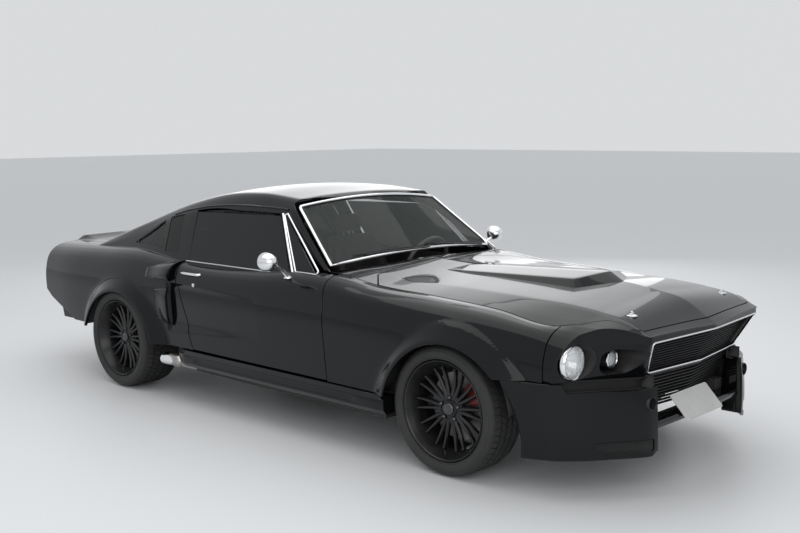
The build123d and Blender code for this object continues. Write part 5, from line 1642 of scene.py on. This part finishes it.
def pad(name, spine, normal, half_width, half_thick, y, node, bolster=0.0, pleats=0.0):
    """stuffed block along a spine in side view: rounded oblong sections, with raised sides and pleats on the
    side that its normal points to"""
    normal = np.array(normal) / np.linalg.norm(normal)
    t = np.linspace(0, 1, 25)
    keys = np.linspace(0, 1, len(spine))
    centre = smooth(t, keys, np.asarray(spine, float))
    width, thick = (smooth(t, keys, np.array(values, float)[:, None]) for values in (half_width, half_thick))
    end = (1 - np.abs(2 * t - 1) ** 8)[:, None] ** 0.25
    a = np.linspace(0, 2 * pi, 65)[:-1]
    across = np.sign(np.cos(a)) * np.abs(np.cos(a)) ** 0.5
    up = np.sign(np.sin(a)) * np.abs(np.sin(a)) ** 0.5
    face = np.clip(up, 0, 1) * end
    seam = np.abs((across * 0.5 + 0.5) * 9 % 1 - 0.5)
    lift = up * thick * (0.12 + 0.88 * end)
    lift = lift + bolster * ramp((np.abs(across) - 0.58) / 0.3) * face
    lift = lift - pleats * ramp((0.16 - seam) / 0.16) * face * (np.abs(across) < 0.6)
    grid = xyz(centre[:, :1] + normal[0] * lift, y + across * width * (0.9 + 0.1 * end),
               centre[:, 1:] + normal[1] * lift)
    piece = joined(name, [capped(grid)], leather, closed=(0,), angle=60)
    add_panel(piece, "body", node)


def along(xs, y=0):
    """stations of a solid that runs along the car, with its section given as y and z"""
    return [lambda section, x=x: xyz(x, section[:, 0] + y, section[:, 1]) for x in xs]


for y, label in ((400, "left"), (-400, "right")):
    pad(f"seat_cushion_{label}", [(-1246, 322), (-1400, 338), (-1580, 330), (-1738, 318)], (0.1, 1),
        (236, 242, 244, 236), (62, 74, 70, 66), y, "seats", 26, 5)
    pad(f"seat_back_{label}", [(-1672, 372), (-1742, 520), (-1822, 740), (-1914, 950)], (0.93, 0.37),
        (238, 240, 236, 196), (52, 56, 50, 34), y, "seats", 30, 5)
    pad(f"headrest_{label}", [(-1930, 972), (-1946, 1030), (-1958, 1086)], (0.97, 0.25), (112, 120, 106),
        (26, 33, 24), y, "seats")
    for shift in (-45, 45):
        path = [(x, y + shift, z) for x, z in ((-1918, 925), (-1932, 965), (-1942, 1000))]
        add_panel(bar(f"headrest_bar_{label}_{shift + 45}", path, 5.5, chrome, 10), "body", "seats")
    pad(f"rear_cushion_{label}", [(-2078, 382), (-2190, 425), (-2330, 462), (-2450, 500)], (0.2, 1),
        (258, 262, 262, 256), (46, 58, 56, 44), y * 0.7, "rear_seat", 12, 4)
    pad(f"rear_back_{label}", [(-2478, 540), (-2530, 640), (-2600, 770)], (0.88, 0.47), (252, 256, 240),
        (42, 46, 32), y * 0.7, "rear_seat", 12, 4)
    base_section = rounded_loop([(-180, 228), (180, 228), (190, 268), (-190, 268)], 8)
    base = swept(f"seat_base_{label}", base_section, along(np.linspace(-1700, -1300, 6), y), plastic)
    add_panel(base, "body", "seats")
shelf_section = rounded_loop([(-2640, 792), (-3190, 862), (-3190, 870), (-2640, 800)], 2)
shelf_stations = [lambda section, y=y: xyz(section[:, 0], y, section[:, 1]) for y in np.linspace(-615, 615, 7)]
add_panel(swept("parcel_shelf", shelf_section, shelf_stations, plastic), "body", None)

# Dashboard: a padded moulding across the car with a hood over two round dials, three small gauges in the
# middle, and a console with the gear lever.
dash_section = rounded_loop([(-800, 648), (-800, 842), (-1002, 850), (-1076, 806), (-1066, 704), (-984, 648)],
                            (4, 10, 40, 22, 18, 16))


def dash_bow(y):
    return 18 * (y / 690) ** 2


def dash_station(y):
    """section at y, raised and drawn back into the hood over the dials"""
    hood = ramp((abs(y) - 215) / 30) * ramp((545 - abs(y)) / 30)

    def place(section):
        x, z = section.T
        back = -14 * hood * ramp((z - 780) / 30) * (x < -1040)
        return xyz(x + dash_bow(y) + back, y, z + 16 * hood * ramp((z - 790) / 40))
    return place


dash = swept("dash_pad", dash_section, [dash_station(y) for y in np.linspace(-688, 688, 60)], leather)
add_panel(dash, "body", "dashboard")
dial_white = varied("dial_marks", (0.60, 0.60, 0.58), (0.72, 0.72, 0.70), (0.4, 0.6), slot="chrome")


def block_grid(low, high):
    """closed box as one grid of four sides and its ends"""
    (x0, y0, z0), (x1, y1, z1) = low, high
    rows = [xyz((x0, x1, x1, x0), (y0, y0, y1, y1), z) for z in (z0, z1)]
    return capped(np.stack(rows))


def dial(name, y, z, radius, ticks, needle):
    """instrument facing the driver: dark face, bright bezel, ticks over three quarters of a turn, needle"""
    x = -1083 + dash_bow(y)
    face_disc = [(16, 0), (16, radius - 1), (3, radius - 1), (2, 0)]
    ring = [(18, radius), (18, radius + 5), (-4, radius + 4), (-6, radius + 2), (-4, radius - 1),
            (3, radius - 2),
            (18, radius)]
    add_panel(turned(f"{name}_face", face_disc, (x, y, z), plastic, steps=40), "body", "dashboard")
    add_panel(turned(f"{name}_bezel", ring, (x, y, z), chrome, steps=48), "body", "dashboard")

    def radial(low, high, a):
        mark = block_grid(low, high)
        across, out = mark[..., 1], mark[..., 2]
        return xyz(x + mark[..., 0], y + out * cos(a) - across * sin(a), z - out * sin(a) - across * cos(a))

    foot = radius * 0.72
    grids = []
    for k in range(ticks):
        length = radius * (0.22 if k % 2 == 0 else 0.13)
        grids.append(radial((0, -0.9, foot), (2, 0.9, foot + length), radians(-225 + 270 * k / (ticks - 1))))
    grids.append(radial((-3, -1.3, -8), (-1.5, 1.3, radius * 0.74), radians(needle)))
    marks = joined(f"{name}_marks", grids, dial_white, closed=range(len(grids)), angle=20)
    add_panel(marks, "body", "dashboard")


dial("speed_dial", 446, 756, 50, 13, -215)
dial("rev_dial", 306, 756, 50, 13, -215)
for index, y in enumerate((66, 0, -66)):
    dial(f"gauge_{index}", y, 748, 24, 5, -150)
console_section = rounded_loop([(-88, 376), (-84, 548), (-70, 560), (70, 560), (84, 548), (88, 376)],
                               (4, 8, 8, 8, 8, 4))
add_panel(swept("console", console_section, along(np.linspace(-1450, -1004, 12)), plastic), "body",
          "dashboard")
stack_section = rounded_loop([(-86, 556), (86, 556), (86, 668), (-86, 668)], 6)
add_panel(swept("centre_stack", stack_section, along((-1056, -1040, -1020, -1002)), plastic), "body",
          "dashboard")
lever = [(-1190, 0, 556), (-1196, 0, 600), (-1210, 0, 668)]
add_panel(bar("gear_lever", lever, 6, chrome, 12), "body", "dashboard")
knob = [(646, 0), (648, 12), (660, 22), (676, 25), (690, 20), (698, 9), (700, 0)]
add_panel(turned("gear_knob", knob, (-1210, 0, 0), leather, "z", 32), "body", "dashboard")
gaiter = [(558, 0), (558, 52), (566, 46), (572, 38), (582, 32), (588, 24), (600, 16), (606, 0)]
add_panel(turned("gear_gaiter", gaiter, (-1192, 0, 0), leather, "z", 40), "body", "dashboard")

# Steering wheel: a leather rim sewn over a steel ring, three drilled, brushed spokes and a plain boss, which
# is bolted to the column and turns on it.
WHEEL_CENTRE, WHEEL_TILT, RIM_TURN_RADIUS, GRIP_RADIUS = np.array((-1190.0, 370, 815)), radians(22), 178, 13.5
wheel_out = np.array((-cos(WHEEL_TILT), 0, sin(WHEEL_TILT)))
wheel_up = np.array((sin(WHEEL_TILT), 0, cos(WHEEL_TILT)))


def on_column(grid):
    """points given as across, up and out from the steering wheel's centre"""
    across, up, out = grid[..., :1], grid[..., 1:2], grid[..., 2:]
    return WHEEL_CENTRE + across * np.array((0, 1.0, 0)) + up * wheel_up + out * wheel_out


def column_turned(name, profile, material, steps=TURN_STEPS, angle=35):
    """solid turned about the column, from (distance out from the wheel's centre, radius)"""
    return joined(name, [on_column(lathe(profile, (0, 0, 0), "z", steps))], material, closed=(0,), angle=angle)


rim_leather = varied("rim_leather", (0.10, 0.098, 0.094), (0.16, 0.155, 0.15), (0.34, 0.5), grain=0.3,
                     slot="black_leather")
brushed = varied("brushed_metal", (0.42, 0.42, 0.43), (0.60, 0.60, 0.61), (0.22, 0.4), 1.0, scale=60.0,
                 slot="chrome")
rim_profile = [(GRIP_RADIUS * sin(a), RIM_TURN_RADIUS + GRIP_RADIUS * cos(a) * 0.9)
               for a in np.linspace(0, 2 * pi, 13)]
boss = [(-34, 0), (-34, 34), (-6, 40), (8, 38), (14, 30), (17, 0)]
add_panel(column_turned("steering_rim", rim_profile, rim_leather, angle=50), "steering_wheel",
          "steering_wheel")
add_panel(column_turned("steering_boss", boss, plastic), "steering_wheel", "steering_wheel")
spoke_plan = np.array([(30, -15), (100, -11), (172, -15), (172, 15), (100, 11), (30, 15)], float)
spoke_holes = [arc((70 + 34 * j, 0), 7.5 - 1.2 * j, 0, 345, 24) for j in range(3)]
spoke_sheet = trimmed(spoke_plan, spoke_holes, 3.0)
for k, angle in enumerate(np.radians((0, 180, 270))):
    def spoke_surface(u, v, c=cos(angle), s=sin(angle)):
        """the flat spoke turned to its place, a little out from the wheel's middle plane"""
        return on_column(xyz(u * c - v * s, u * s + v * c, 2.0))
    spoke = shell(f"steering_spoke_{k}", spoke_sheet, spoke_surface, 4.0, brushed, wheel_out, 0.5)
    add_panel(spoke, "steering_wheel", "steering_wheel")
column_profile = [(-40, 0), (-40, 30), (-60, 34), (-230, 36), (-232, 0)]
add_panel(column_turned("steering_column", column_profile, plastic, 40), "body", "dashboard")

# Door trims: leather over moulded boards, clipped to the door frames. A padded armrest and a bright pull are
# screwed to each.
trim_outline = rounded_loop([(-850, 380), (-850, 838), (-2080, 838), (-1990, 560), (-1950, 380)], 22)
trim_sheet = trimmed(trim_outline, (), 22.0)
arm_section = rounded_loop([(728, 596), (690, 600), (676, 622), (690, 640), (728, 644)], (3, 10, 14, 10, 3))
DOOR_PULL = np.array([(-1330, 727, 690), (-1325, 708, 692), (-1250, 704, 696), (-1175, 708, 700),
                      (-1170, 727, 702)])


def arm_station(x, side):
    """section at x, standing out from the board in the middle and less towards both ends"""
    size = 0.35 + 0.65 * ramp((-1180 - x) / 120) * ramp((x + 1780) / 90)
    return lambda section: xyz(x, side * (728 - (728 - section[:, 0]) * size), section[:, 1])


for side, label in SIDES[::-1]:
    def board_surface(x, z, side=side):
        """the door's inner plane, a little hollow at half height"""
        return xyz(x, side * (730 - 3 * np.sin(np.clip((z - 400) / 400, 0, 1) * pi)), z)
    board = shell(f"door_trim_{label}", trim_sheet, board_surface, 5, leather, (0, -side, 0))
    arm_stations = [arm_station(x, side) for x in np.linspace(-1180, -1780, 14)]
    arm = swept(f"armrest_{label}", arm_section, arm_stations, leather)
    for piece in (board, arm, bar(f"door_pull_{label}", DOOR_PULL * (1, side, 1), 5, chrome, 10)):
        add_panel(piece, f"{label}_door", f"door_{label}")

# Wipers: two arms of pressed steel, painted black and parked on the foot of the windscreen. Each carries a
# rubber blade.
def wiper_path(y0, y1, count, rise, climb, proud):
    """line over the arched foot of the glass, from one width to the other and climbing on its way"""
    ys = np.linspace(y0, y1, count)
    low = SCREEN_BASE[0] + rise + 38 * (1 - (ys / 672) ** 2)
    return screen_point(ys, low + np.linspace(0, climb, count), np.array(proud))


for k, (y_pivot, y_tip) in enumerate(((590, 130), (70, -440))):
    arm_path = wiper_path(y_pivot, y_tip, 7, 24, 16, (4, 16, 20, 20, 18, 16, 14))
    add_panel(bar(f"wiper_arm_{k}", arm_path, (7, 5, 4, 4, 4, 3.5, 3), satin, 8), "body", None)
    blade_path = wiper_path(y_pivot - 40, y_tip - 70, 9, 34, 12, 7)
    add_panel(bar(f"wiper_blade_{k}", blade_path, 4.0, rubber, 6), "body", None)
